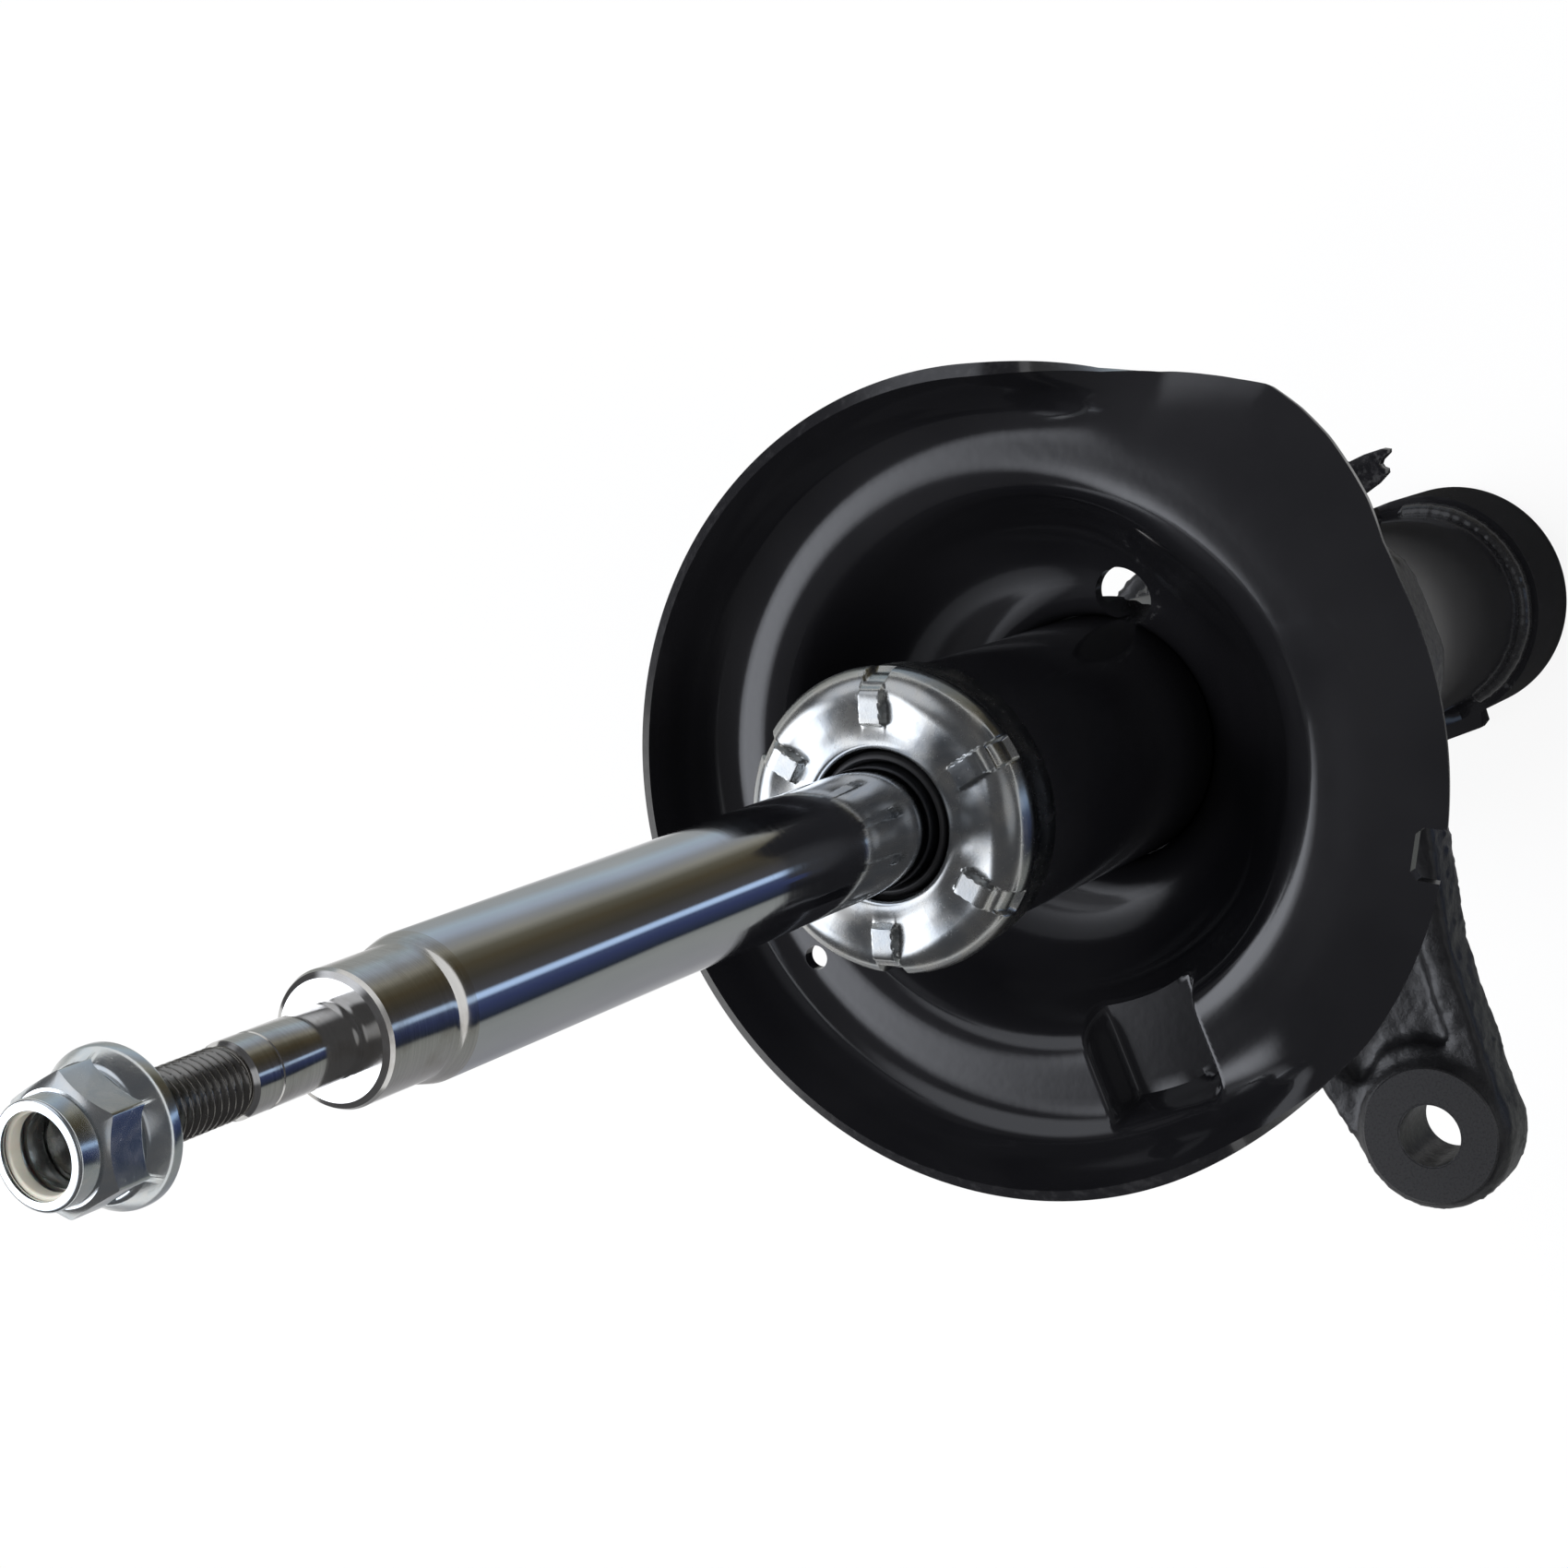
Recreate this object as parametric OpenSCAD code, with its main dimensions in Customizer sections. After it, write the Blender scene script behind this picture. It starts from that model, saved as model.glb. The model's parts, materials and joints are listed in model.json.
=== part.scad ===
// Suspension strut: a twin-tube damper with its spring seat, steering arm and knuckle bracket.
// Millimetres. The origin is the centre of the rod's upper shoulder face, where the top mount sits.
// +Z runs up the rod, +X points to the knuckle and +Y to the steering arm's side.

/* [Rod] */
// Diameter of the chromed rod
rod_d = 20; // [18:0.5:24]
// Length of rod and shoulder that stands out of the cap at full extension
rod_out_len = 140; // [110:1:200]
// Diameter of the ground shoulder at the rod's top
shoulder_d = 18; // [15:0.5:18]
// Length of the ground shoulder
shoulder_len = 14; // [8:1:25]
// Diameter of the plain shank above the shoulder
shank_d = 9.8; // [9.8:0.1:12]
// Length of the plain shank
shank_len = 20; // [12:1:30]
// Length of the thread above the shank
thread_len = 26; // [22:1:40]
// Diameter of the plain cylinder that stands in for the thread
thread_d = 9.2; // [9:0.1:9.3]
// Diameter of the spigot that carries the piston
spigot_d = 12; // [10:0.5:14]

/* [Nut] */
// Distance across the nut's flats
nut_flats = 15; // [14:0.1:18]
// Diameter of the nut's flange
nut_flange_d = 19.4; // [19:0.1:26]
// Height of the nut
nut_h = 13.2; // [12:0.1:15]
// Height of the nut's seat above the shoulder face, as run on for storage
nut_gap = 38.5; // [32:0.5:42]
// Outer diameter of the collar that holds the locking ring
nut_collar_d = 13; // [12.5:0.1:14]

/* [Tube] */
// Outer diameter of the reservoir tube
tube_d = 45; // [44:0.5:56]
// Wall of the reservoir tube
tube_wall = 2.5; // [2:0.1:3]
// Length of the reservoir tube
tube_len = 282; // [270:1:360]
// Bore of the working cylinder
cylinder_bore = 30; // [29:0.5:32]
// Wall of the working cylinder
cylinder_wall = 1.2; // [1:0.1:1.5]
// Thickness of the closing cup at the tube's foot
base_cup_t = 4; // [3:0.5:6]

/* [Cap] */
// Sheet thickness of the pressed cap
cap_wall = 1.8; // [1.2:0.1:2.2]
// Height of the pressed cap
cap_h = 15; // [13:0.5:20]
// Open ring between the rod and the cap's hole, that the seal's lip stands in
cap_hole_gap = 2.3; // [2.2:0.1:3]
// Number of raised pads on the cap
cap_pads = 6; // [3:1:8]
// Width of a raised pad
pad_w = 4.5; // [3:0.5:7]
// Length of a raised pad
pad_len = 6.5; // [4:0.5:8]
// Height of a raised pad
pad_h = 1.2; // [0.8:0.1:2]

/* [Guide and piston] */
// Height of the oil seal
seal_h = 7; // [5:0.5:9]
// Height of the rod guide
guide_h = 22; // [18:1:30]
// Height of the guide's wide upper part
guide_rim_h = 12; // [8:1:14]
// Wall of the guide's bearing bush
bush_wall = 1.1; // [0.8:0.1:1.2]
// Height of the rubber rebound bumper
bumper_h = 8; // [6:1:14]
// Height of the steel collar under the bumper
collar_h = 5; // [4:0.5:8]
// Length of rod between the collar and the piston
rod_below_collar = 50; // [36:1:58]
// Height of the piston
piston_h = 14; // [12:0.5:18]
// Height of the piston's sealing band
band_h = 8; // [6:0.5:10]
// Height of the foot valve
foot_h = 16; // [12:1:20]

/* [Spring seat] */
// Height of the spring's seat plane below the cap's top
seat_drop = 54; // [45:1:80]
// Sheet thickness of the spring seat
seat_t = 2.6; // [2.4:0.1:3]
// Radius of the flat floor that carries the spring
seat_floor_r = 63; // [61:0.5:68]
// Distance of the dish's centre from the strut axis
seat_offset = 2; // [0:0.1:5]
// Radius of the lip's top edge
seat_rim_r = 70.2; // [69:0.2:80]
// Height of the lip above the floor
seat_lip_h = 13; // [8:1:18]
// Radius of the pocket's top edge, round the strut axis
pocket_r = 50; // [46:1:52]
// Depth of the pocket below the floor
pocket_h = 25; // [20:1:32]
// Length of the neck that is welded to the tube
neck_h = 12; // [8:1:18]
// Radius of the open side's flange
flange_r = 75; // [72:1:84]
// How far the flange's corner stands out past that radius
flange_corner = 5; // [0:0.5:8]
// Width of the drain channel
channel_w = 20; // [14:1:24]
// Depth of the drain channel
channel_h = 8; // [5:1:10]
// Diameter of the drain hole in the pocket
drain_d = 11; // [8:0.5:13]
// Diameter of the small locating hole in the floor
locating_d = 4.5; // [3:0.5:6]
// Width of the notch in the flange
notch_w = 9; // [6:0.5:12]
// Depth of the notch in the flange
notch_h = 5; // [3:0.5:12]

/* [Steering arm] */
// Height of the arm's eye face below the seat plane
arm_drop = 97; // [80:1:120]
// Distance from the strut axis to the eye, along Y
eye_y = 97; // [85:1:120]
// Offset of the eye towards the open side, along X
eye_x = -1.8; // [-6:0.2:4]
// Hole in the eye
eye_bore = 12.6; // [10:0.2:16]
// Diameter of the eye's machined face
eye_d = 28; // [25:1:30]
// Thickness of the eye
eye_t = 16; // [12:1:20]
// Thickness of the arm's ribs
arm_t = 13; // [10:1:18]
// Depth of the hollow between the ribs
arm_hollow_h = 3; // [2:0.5:4]
// Height of the collar round the tube
arm_collar_h = 46; // [36:1:50]
// Wall of the collar round the tube
arm_collar_wall = 5.5; // [5:0.5:8]

/* [Knuckle bracket] */
// Height of the bracket's ears
bracket_h = 78; // [70:1:90]
// Height of the band that wraps the tube's back
band_wrap_h = 21; // [14:1:40]
// Sheet thickness of the bracket
bracket_t = 3.5; // [3:0.1:5]
// Gap between the bracket's ears
ear_gap = 32; // [26:1:38]
// Reach of the ears from the strut axis
ear_reach = 70; // [60:1:80]
// Distance of the bolt holes from the strut axis
bolt_reach = 52; // [45:1:55]
// Distance between the two bolt holes
bolt_spacing = 50; // [44:1:56]
// Diameter of the bolt holes
bolt_hole_d = 14.4; // [12.2:0.1:16]
// Width of the turned-out lip at the foot of the ear on the arm's side
ear_lip_w = 4; // [2:0.5:8]
// Height of the bracket's foot above the tube's foot
bracket_lift = 2; // [1:0.5:8]

/* [Hose bracket] */
// Sheet thickness of the hose bracket
hose_t = 3; // [2:0.5:4]
// Height of the hose bracket below the seat plane
hose_drop = 155; // [152:1:170]
// Height of the hose bracket's foot on the tube
hose_foot_h = 12; // [8:1:16]
// Diameter of the hose bracket's bolt hole
hose_hole_d = 8.4; // [6:0.2:10]

/* [Fits] */
// Radial clearance of a part that slides or turns
running_gap = 0.03; // [0.02:0.01:0.06]
// Radial clearance of a part that is pushed in or on
seated_gap = 0.05; // [0.02:0.01:0.1]
// Gap at a stop
stop_gap = 0.3; // [0.2:0.05:0.5]
// Leg of a weld bead
weld_leg = 4; // [3:0.5:6]

/* [Hidden] */
$fn = 96;
eps = 0.01;
round_r = 1;
rod_r = rod_d / 2;
tube_r = tube_d / 2;
tube_bore_r = tube_r - tube_wall;
tube_corner_r = 4;
stud_top_z = shank_len + thread_len;
cap_top_z = -rod_out_len;
tube_top_z = cap_top_z - cap_wall - stop_gap;
tube_foot_z = tube_top_z - tube_len;
cap_in_r = tube_r + seated_gap;
cap_out_r = cap_in_r + cap_wall;
cap_pad_mid_r = cap_out_r - cap_wall - pad_len / 2 + 0.4;
cap_pad_turn = 9;
seal_top_z = tube_top_z - tube_wall;
seal_foot_z = seal_top_z - seal_h;
seal_lip_wall = 1.7;
guide_step_z = seal_foot_z - guide_rim_h;
guide_foot_z = seal_foot_z - guide_h;
bush_h = guide_h - 6;
cylinder_r = cylinder_bore / 2;
cylinder_out_r = cylinder_r + cylinder_wall;
bumper_top_z = guide_foot_z - stop_gap;
collar_top_z = bumper_top_z - bumper_h;
collar_foot_z = collar_top_z - collar_h;
rod_foot_z = collar_foot_z - rod_below_collar;
stop_plate_t = 2;
check_plate_t = 1;
disc_t = 0.4;
disc_count = 4;
piston_top_z = rod_foot_z - stop_plate_t - check_plate_t;
piston_foot_z = piston_top_z - piston_h;
piston_nut_h = 8;
piston_nut_flats = 18;
spigot_tail = 2;
discs_foot_z = piston_foot_z - disc_count * disc_t;
piston_nut_foot_z = discs_foot_z - piston_nut_h;
spigot_foot_z = piston_nut_foot_z - spigot_tail;
band_wall = 1.5;
base_cup_top_z = tube_foot_z + base_cup_t;
foot_top_z = base_cup_top_z + foot_h;
foot_step_z = base_cup_top_z + foot_h - 6;
rivet_r = 3;
seat_z = cap_top_z - seat_drop;
neck_foot_z = seat_z - pocket_h - neck_h;
neck_r = tube_r + seated_gap;
open_side_from = 104;
open_side_to = 234;
corner_from = 188;
drain_turn = 232;
drain_mid_r = 27.8;
channel_x = -1.4;
locating_pos = [54.7, 18.2];
notch_turn = 149;
arm_top_z = seat_z - arm_drop;
arm_mid_z = arm_top_z - eye_t / 2;
arm_collar_top_z = arm_top_z + 8;
arm_collar_foot_z = arm_collar_top_z - arm_collar_h;
arm_collar_r = neck_r + arm_collar_wall;
eye_skirt = 2;
bracket_foot_z = tube_foot_z + bracket_lift;
bracket_top_z = bracket_foot_z + bracket_h;
bracket_in_r = tube_r + seated_gap;
bracket_out_r = bracket_in_r + bracket_t;
band_wrap_top_z = bracket_foot_z + band_wrap_h;
ear_lip_from = 3;
ear_bend_from = 16;
ear_bend_to = 30;
ear_out_y = ear_gap / 2 + bracket_t;
bolt_mid_z = bracket_foot_z + bracket_h / 2;
hose_top_z = seat_z - hose_drop;
hose_turn = 256;
hose_hole_pos = [-4, -38.5];

// Points of an arc round c, from angle a0 to a1.
function arc(c, r, a0, a1, n = 8) =
  [for (i = [0:n]) let (a = a0 + (a1 - a0) * i / n) c + r * [cos(a), sin(a)]];

// Unit normal of a path at point i, on the path's right-hand side.
function path_normal(p, i) =
  let (d = p[min(i + 1, len(p) - 1)] - p[max(i - 1, 0)]) [d[1], -d[0]] / norm(d);

// Closed outline of a sheet of thickness t, on the right-hand side of the path.
function sheet_outline(p, t) = concat(p, [for (i = [len(p) - 1:-1:0]) p[i] + t * path_normal(p, i)]);

// Solid of revolution about +Z from points [radius, height].
module turned(points) { rotate_extrude() polygon(points); }

// Plain ring between two heights.
module ring(r_in, r_out, z_low, z_high) {
  translate([0, 0, z_low]) difference() {
    cylinder(r = r_out, h = z_high - z_low);
    translate([0, 0, -1]) cylinder(r = r_in, h = z_high - z_low + 2);
  }
}

// Flat slab cut to a 2D outline, between two heights.
module slab(z_low, z_high) { translate([0, 0, z_low]) linear_extrude(height = z_high - z_low) children(); }

// Weld bead round the tube with its leg on the tube's wall. dir is 1 for a bead above its edge.
module weld_ring(z, dir, leg_out) {
  rotate_extrude() polygon([
    [neck_r, z], [neck_r + leg_out, z], [neck_r + leg_out * 0.72, z + dir * weld_leg * 0.45],
    [neck_r + leg_out * 0.35, z + dir * weld_leg * 0.85], [neck_r, z + dir * weld_leg]
  ]);
}

// Half space wedge between two directions, seen from above.
module wedge(a0, a1, reach) {
  mid = (a0 + a1) / 2;
  polygon([[0, 0], reach * [cos(a0), sin(a0)], reach * [cos((a0 + mid) / 2), sin((a0 + mid) / 2)],
    reach * [cos(mid), sin(mid)], reach * [cos((a1 + mid) / 2), sin((a1 + mid) / 2)],
    reach * [cos(a1), sin(a1)]]);
}

module piston_rod() {
  color([0.80, 0.82, 0.85]) turned([
    [0, stud_top_z], [thread_d / 2 - round_r, stud_top_z], [thread_d / 2, stud_top_z - round_r],
    [thread_d / 2, shank_len], [shank_d / 2, shank_len - 0.3], [shank_d / 2, 0],
    [shoulder_d / 2 - round_r, 0], [shoulder_d / 2, -round_r],
    [shoulder_d / 2, -shoulder_len], [rod_r, -shoulder_len - (rod_d - shoulder_d) / 2],
    [rod_r, rod_foot_z], [spigot_d / 2, rod_foot_z],
    [spigot_d / 2, spigot_foot_z + round_r], [spigot_d / 2 - round_r, spigot_foot_z], [0, spigot_foot_z]
  ]);
}

module rod_nut() {
  flange_h = 4.5;
  collar_from = nut_h - 3.2;
  ring_depth = 0.5;
  color([0.78, 0.80, 0.80]) translate([0, 0, nut_gap]) difference() {
    union() {
      turned([[0, 0], [nut_flange_d / 2 - 0.4, 0], [nut_flange_d / 2, 0.5], [nut_flange_d / 2, 1.4],
        [nut_flats / 2 + 0.4, flange_h], [0, flange_h]]);
      intersection() {
        cylinder(d = nut_flats / cos(30), h = collar_from, $fn = 6);
        turned([[0, 0], [nut_flats / 2 + 2, 0], [nut_flats / 2 + 2, collar_from - 1.6],
          [nut_flats / 2 - 0.2, collar_from], [0, collar_from]]);
      }
      turned([[0, flange_h], [nut_collar_d / 2, flange_h], [nut_collar_d / 2, nut_h - 1.2],
        [nut_collar_d / 2 - 1.2, nut_h], [0, nut_h]]);
    }
    translate([0, 0, -1]) cylinder(r = thread_d / 2 + seated_gap, h = nut_h + 2);
    translate([0, 0, collar_from - 0.4]) cylinder(r = nut_collar_d / 2 - 0.9, h = nut_h - collar_from - 0.3);
    translate([0, 0, nut_h - ring_depth - 1]) cylinder(r = nut_collar_d / 2 - 1.3, h = ring_depth + 2);
  }
}

module nut_locking_ring() {
  color([0.88, 0.86, 0.78])
    ring(thread_d / 2 + seated_gap, nut_collar_d / 2 - 0.9 - seated_gap,
      nut_gap + nut_h - 3.5, nut_gap + nut_h - 0.8);
}

module tube_cap() {
  crown_r = 5;
  bulge = 0.8;
  hole_r = rod_r + cap_hole_gap;
  crown = arc([cap_out_r + bulge - crown_r, cap_top_z - crown_r], crown_r, 90, 0, 8);
  skirt = [[cap_out_r, cap_top_z - crown_r - 3], [cap_out_r, cap_top_z - cap_h]];
  inside = [
    [cap_in_r, cap_top_z - cap_h], [cap_in_r, tube_top_z - tube_corner_r + 1.7],
    [cap_in_r - 2.6, cap_top_z - cap_wall], [hole_r, cap_top_z - cap_wall]
  ];
  color([0.80, 0.81, 0.79]) {
    difference() {
      turned(concat([[hole_r, cap_top_z - 0.5], [hole_r + 0.5, cap_top_z]], crown, skirt, inside));
      for (i = [0:cap_pads - 1]) rotate([0, 0, cap_pad_turn + i * 360 / cap_pads])
        translate([cap_out_r - 0.6, -pad_w / 2, cap_top_z - crown_r - 2]) cube([4, pad_w, crown_r]);
    }
    for (i = [0:cap_pads - 1]) rotate([0, 0, cap_pad_turn + i * 360 / cap_pads])
      translate([cap_pad_mid_r - pad_len / 2, -pad_w / 2, cap_top_z - cap_wall / 2])
        cube([pad_len, pad_w, cap_wall / 2 + pad_h]);
  }
}

module oil_seal() {
  lip_r = rod_r + seal_lip_wall;
  color([0.07, 0.07, 0.07]) turned([
    [rod_r + running_gap, seal_foot_z], [tube_bore_r - seated_gap, seal_foot_z],
    [tube_bore_r - seated_gap, seal_top_z], [lip_r, seal_top_z],
    [lip_r, cap_top_z - 1.2], [lip_r - 0.6, cap_top_z - 0.6], [rod_r + running_gap, cap_top_z - 1.6]
  ]);
}

module rod_guide() {
  bush_seat_r = rod_r + bush_wall + 2 * running_gap;
  color([0.45, 0.45, 0.46]) turned([
    [bush_seat_r, guide_foot_z], [cylinder_r - seated_gap - 1, guide_foot_z],
    [cylinder_r - seated_gap, guide_foot_z + 1], [cylinder_r - seated_gap, guide_step_z],
    [tube_bore_r - seated_gap - 1, guide_step_z], [tube_bore_r - seated_gap, guide_step_z + 1],
    [tube_bore_r - seated_gap, seal_foot_z], [rod_r + bush_wall + 2, seal_foot_z],
    [bush_seat_r, seal_foot_z - 2]
  ]);
}

module guide_bush() {
  color([0.70, 0.52, 0.28])
    ring(rod_r + running_gap, rod_r + running_gap + bush_wall, guide_foot_z, guide_foot_z + bush_h);
}

module rebound_bumper() {
  color([0.12, 0.12, 0.12])
    ring(rod_r + seated_gap, cylinder_r - 1.5, collar_top_z, bumper_top_z);
}

module rebound_collar() {
  color([0.55, 0.56, 0.58])
    ring(rod_r + seated_gap, cylinder_r - 1.2, collar_foot_z, collar_top_z);
}

module piston_stop_plate() {
  color([0.55, 0.56, 0.58])
    ring(spigot_d / 2 + seated_gap, cylinder_r - 5, rod_foot_z - stop_plate_t, rod_foot_z);
}

module piston_check_plate() {
  color([0.60, 0.61, 0.62])
    ring(spigot_d / 2 + seated_gap, cylinder_r - 2.5, piston_top_z, rod_foot_z - stop_plate_t);
}

module piston() {
  groove_r = cylinder_r - running_gap - band_wall - seated_gap;
  land_r = cylinder_r - 0.4;
  land_h = (piston_h - band_h) / 2;
  port_count = 8;
  port_r = 1.3;
  color([0.50, 0.50, 0.51]) difference() {
    turned([
      [spigot_d / 2 + seated_gap, piston_foot_z], [land_r, piston_foot_z], [land_r, piston_foot_z + land_h],
      [groove_r, piston_foot_z + land_h], [groove_r, piston_top_z - land_h], [land_r, piston_top_z - land_h],
      [land_r, piston_top_z], [spigot_d / 2 + seated_gap, piston_top_z]
    ]);
    for (i = [0:port_count - 1]) rotate([0, 0, i * 360 / port_count])
      translate([(spigot_d / 2 + cylinder_r) / 2 - 0.6, 0, piston_foot_z - 1])
        cylinder(r = port_r, h = piston_h + 2, $fn = 24);
  }
}

module piston_band() {
  land_h = (piston_h - band_h) / 2;
  color([0.30, 0.22, 0.18])
    ring(cylinder_r - running_gap - band_wall, cylinder_r - running_gap,
      piston_foot_z + land_h + seated_gap, piston_top_z - land_h - seated_gap);
}

module piston_valve_discs() {
  color([0.62, 0.63, 0.65]) for (i = [0:disc_count - 1])
    ring(spigot_d / 2 + seated_gap, cylinder_r - 2.5 - i,
      piston_foot_z - (i + 1) * disc_t, piston_foot_z - i * disc_t);
}

module piston_nut() {
  color([0.40, 0.41, 0.42]) translate([0, 0, piston_nut_foot_z]) difference() {
    cylinder(d = piston_nut_flats / cos(30), h = piston_nut_h, $fn = 6);
    translate([0, 0, -1]) cylinder(r = spigot_d / 2 + seated_gap, h = piston_nut_h + 2);
  }
}

module working_cylinder() {
  color([0.66, 0.67, 0.69]) ring(cylinder_r, cylinder_out_r, foot_step_z, guide_step_z);
}

module foot_valve_body() {
  foot_r = tube_bore_r - 1;
  slot_h = 4;
  slot_count = 4;
  color([0.48, 0.48, 0.49]) difference() {
    turned([
      [rivet_r + seated_gap, foot_step_z - 4], [cylinder_r - 4, foot_step_z - 4],
      [cylinder_r - 4, base_cup_top_z], [foot_r, base_cup_top_z], [foot_r, foot_step_z],
      [cylinder_r - seated_gap, foot_step_z],
      [cylinder_r - seated_gap, foot_top_z], [rivet_r + seated_gap, foot_top_z]
    ]);
    for (i = [0:slot_count - 1]) rotate([0, 0, i * 360 / slot_count])
      translate([cylinder_r - 6, -3, base_cup_top_z - 1]) cube([tube_r, 6, slot_h + 1]);
    for (i = [0:slot_count - 1]) rotate([0, 0, 45 + i * 360 / slot_count])
      translate([cylinder_r / 2 + 0.5, 0, foot_step_z - 5]) cylinder(r = 1.5, h = foot_h, $fn = 24);
  }
}

module foot_valve_discs() {
  color([0.62, 0.63, 0.65]) for (i = [0:2])
    ring(rivet_r + seated_gap, cylinder_r - 2.5 - 1.5 * i,
      foot_top_z + i * disc_t, foot_top_z + (i + 1) * disc_t);
}

module foot_valve_rivet() {
  head_z = foot_top_z + 3 * disc_t;
  tail_z = foot_step_z - 4;
  color([0.45, 0.46, 0.47]) turned([
    [0, tail_z - 2], [rivet_r + 1, tail_z - 2], [rivet_r + 1.4, tail_z - 1], [rivet_r + 1.4, tail_z],
    [rivet_r, tail_z], [rivet_r, head_z], [rivet_r + 2.6, head_z], [rivet_r + 2.6, head_z + 1.6],
    [rivet_r + 1, head_z + 2.4], [0, head_z + 2.4]
  ]);
}

module reservoir_tube() {
  rolled_r = tube_r - 5;
  color([0.03, 0.03, 0.035]) turned(concat(
    [[tube_bore_r, tube_foot_z], [tube_r, tube_foot_z]],
    arc([tube_r - tube_corner_r, tube_top_z - tube_corner_r], tube_corner_r, 0, 90, 6),
    [[rolled_r, tube_top_z], [rolled_r, tube_top_z - tube_wall], [tube_bore_r, tube_top_z - tube_wall]]
  ));
}

module base_cup() {
  color([0.03, 0.03, 0.035]) turned([
    [0, tube_foot_z + 1], [tube_bore_r - 6, tube_foot_z + 1], [tube_bore_r - 2, tube_foot_z],
    [tube_bore_r - seated_gap, tube_foot_z], [tube_bore_r - seated_gap, base_cup_top_z], [0, base_cup_top_z]
  ]);
}

module base_weld() {
  bead = 2.2;
  color([0.05, 0.05, 0.05]) turned([
    [tube_bore_r - bead, tube_foot_z], [tube_bore_r - bead + 0.8, tube_foot_z - bead * 0.6],
    [tube_bore_r, tube_foot_z - bead * 0.8], [tube_bore_r + 1, tube_foot_z - bead * 0.6],
    [tube_bore_r + 1.8, tube_foot_z]
  ]);
}

// Point on the flange's edge in direction a, standing out by a share of the corner's height.
function flange_corner_at(a, share) = (flange_r + share * flange_corner) * [cos(a), sin(a)];

// Floor outline of the spring seat: the spring's circle and the wider flange on the open side.
module seat_outline() {
  difference() {
    union() {
      translate([0, seat_offset]) circle(r = seat_floor_r + 1);
      intersection() {
        circle(r = flange_r);
        wedge(open_side_from, corner_from + 4, 2 * flange_r);
      }
      polygon([[0, 0], flange_corner_at(open_side_to, -0.9), flange_corner_at(227, -0.5),
        flange_corner_at(221, 0.1), flange_corner_at(213.5, 0.95), flange_corner_at(209, 0.95),
        flange_corner_at(204, 0.85), flange_corner_at(199, 0.65), flange_corner_at(corner_from, -0.1),
        flange_corner_at(corner_from, -2)]);
    }
    circle(r = pocket_r - 1);
    rotate([0, 0, notch_turn]) translate([flange_r - notch_h, -notch_w / 2])
      square([notch_h + 20, notch_w]);
  }
}

module spring_seat() {
  corner = 5;
  lip_foot_r = seat_floor_r - corner + 1;
  lip_path = concat(
    [[lip_foot_r - 4, seat_z]],
    arc([lip_foot_r, seat_z + corner], corner, -90, -30, 5),
    [[seat_rim_r, seat_z + seat_lip_h]]
  );
  pocket_path = concat(
    [[pocket_r + 3, seat_z]],
    arc([pocket_r, seat_z - corner], corner, 90, 165, 5),
    arc([pocket_r - 14, seat_z - pocket_h + 9], 9, -20, -80, 5),
    arc([neck_r + 3, seat_z - pocket_h - 3], 3, 90, 180, 4),
    [[neck_r, neck_foot_z]]
  );
  channel_from = pocket_r - 7;
  channel_to = seat_floor_r + seat_offset + 2;
  color([0.03, 0.03, 0.035]) difference() {
    union() {
      slab(seat_z - seat_t, seat_z) seat_outline();
      turned(sheet_outline(pocket_path, -seat_t));
      difference() {
        translate([0, seat_offset, 0]) turned(sheet_outline(lip_path, seat_t));
        slab(seat_z - 2 * seat_t, seat_z + 2 * seat_lip_h) wedge(open_side_from, open_side_to, 2 * flange_r);
      }
      translate([channel_x - channel_w / 2 - seat_t, channel_from, seat_z - channel_h - seat_t])
        cube([channel_w + 2 * seat_t, channel_to - channel_from, channel_h + seat_t - eps]);
    }
    translate([channel_x - channel_w / 2, channel_from - 6, seat_z - channel_h])
      cube([channel_w, channel_to - channel_from + 6 - seat_t, channel_h + 1]);
    rotate([0, 0, drain_turn]) translate([drain_mid_r, 0, seat_z - pocket_h - 6])
      cylinder(d = drain_d, h = 20);
    translate([locating_pos[0], locating_pos[1], seat_z - seat_t - 1])
      cylinder(d = locating_d, h = seat_t + 2);
  }
}

module spring_seat_weld() { color([0.05, 0.05, 0.05]) weld_ring(neck_foot_z, -1, seat_t); }

// Plan outline of the steering arm.
module arm_outline() {
  skirt_r = eye_d / 2 + eye_skirt;
  circle(r = arm_collar_r);
  translate([eye_x, eye_y]) circle(r = skirt_r);
  polygon([
    [-arm_collar_r + 0.1, 4], [eye_x - skirt_r - 8.5, 0.36 * eye_y], [eye_x - skirt_r - 1.6, 0.66 * eye_y],
    [eye_x - skirt_r + 0.3, eye_y - 3], [eye_x, eye_y], [eye_x + skirt_r - 1.5, eye_y + 6],
    [eye_x + skirt_r + 4, 0.84 * eye_y], [eye_x + skirt_r + 14, 0.55 * eye_y],
    [arm_collar_r + 2, 0.28 * eye_y], [arm_collar_r - 0.6, 6]
  ]);
}

// Plan outline of the hollow between the arm's ribs.
module arm_hollow_outline() {
  skirt_r = eye_d / 2 + eye_skirt;
  difference() {
    polygon([
      [eye_x - skirt_r + 2, 0.4 * eye_y], [eye_x - skirt_r + 5.5, 0.68 * eye_y], [eye_x - 7, eye_y - 6],
      [eye_x + skirt_r - 2, eye_y - 4], [eye_x + skirt_r + 9.5, 0.56 * eye_y], [arm_collar_r - 4, 0.36 * eye_y]
    ]);
    translate([eye_x, eye_y]) circle(r = skirt_r - 0.5);
    circle(r = arm_collar_r + 3);
  }
}

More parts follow.
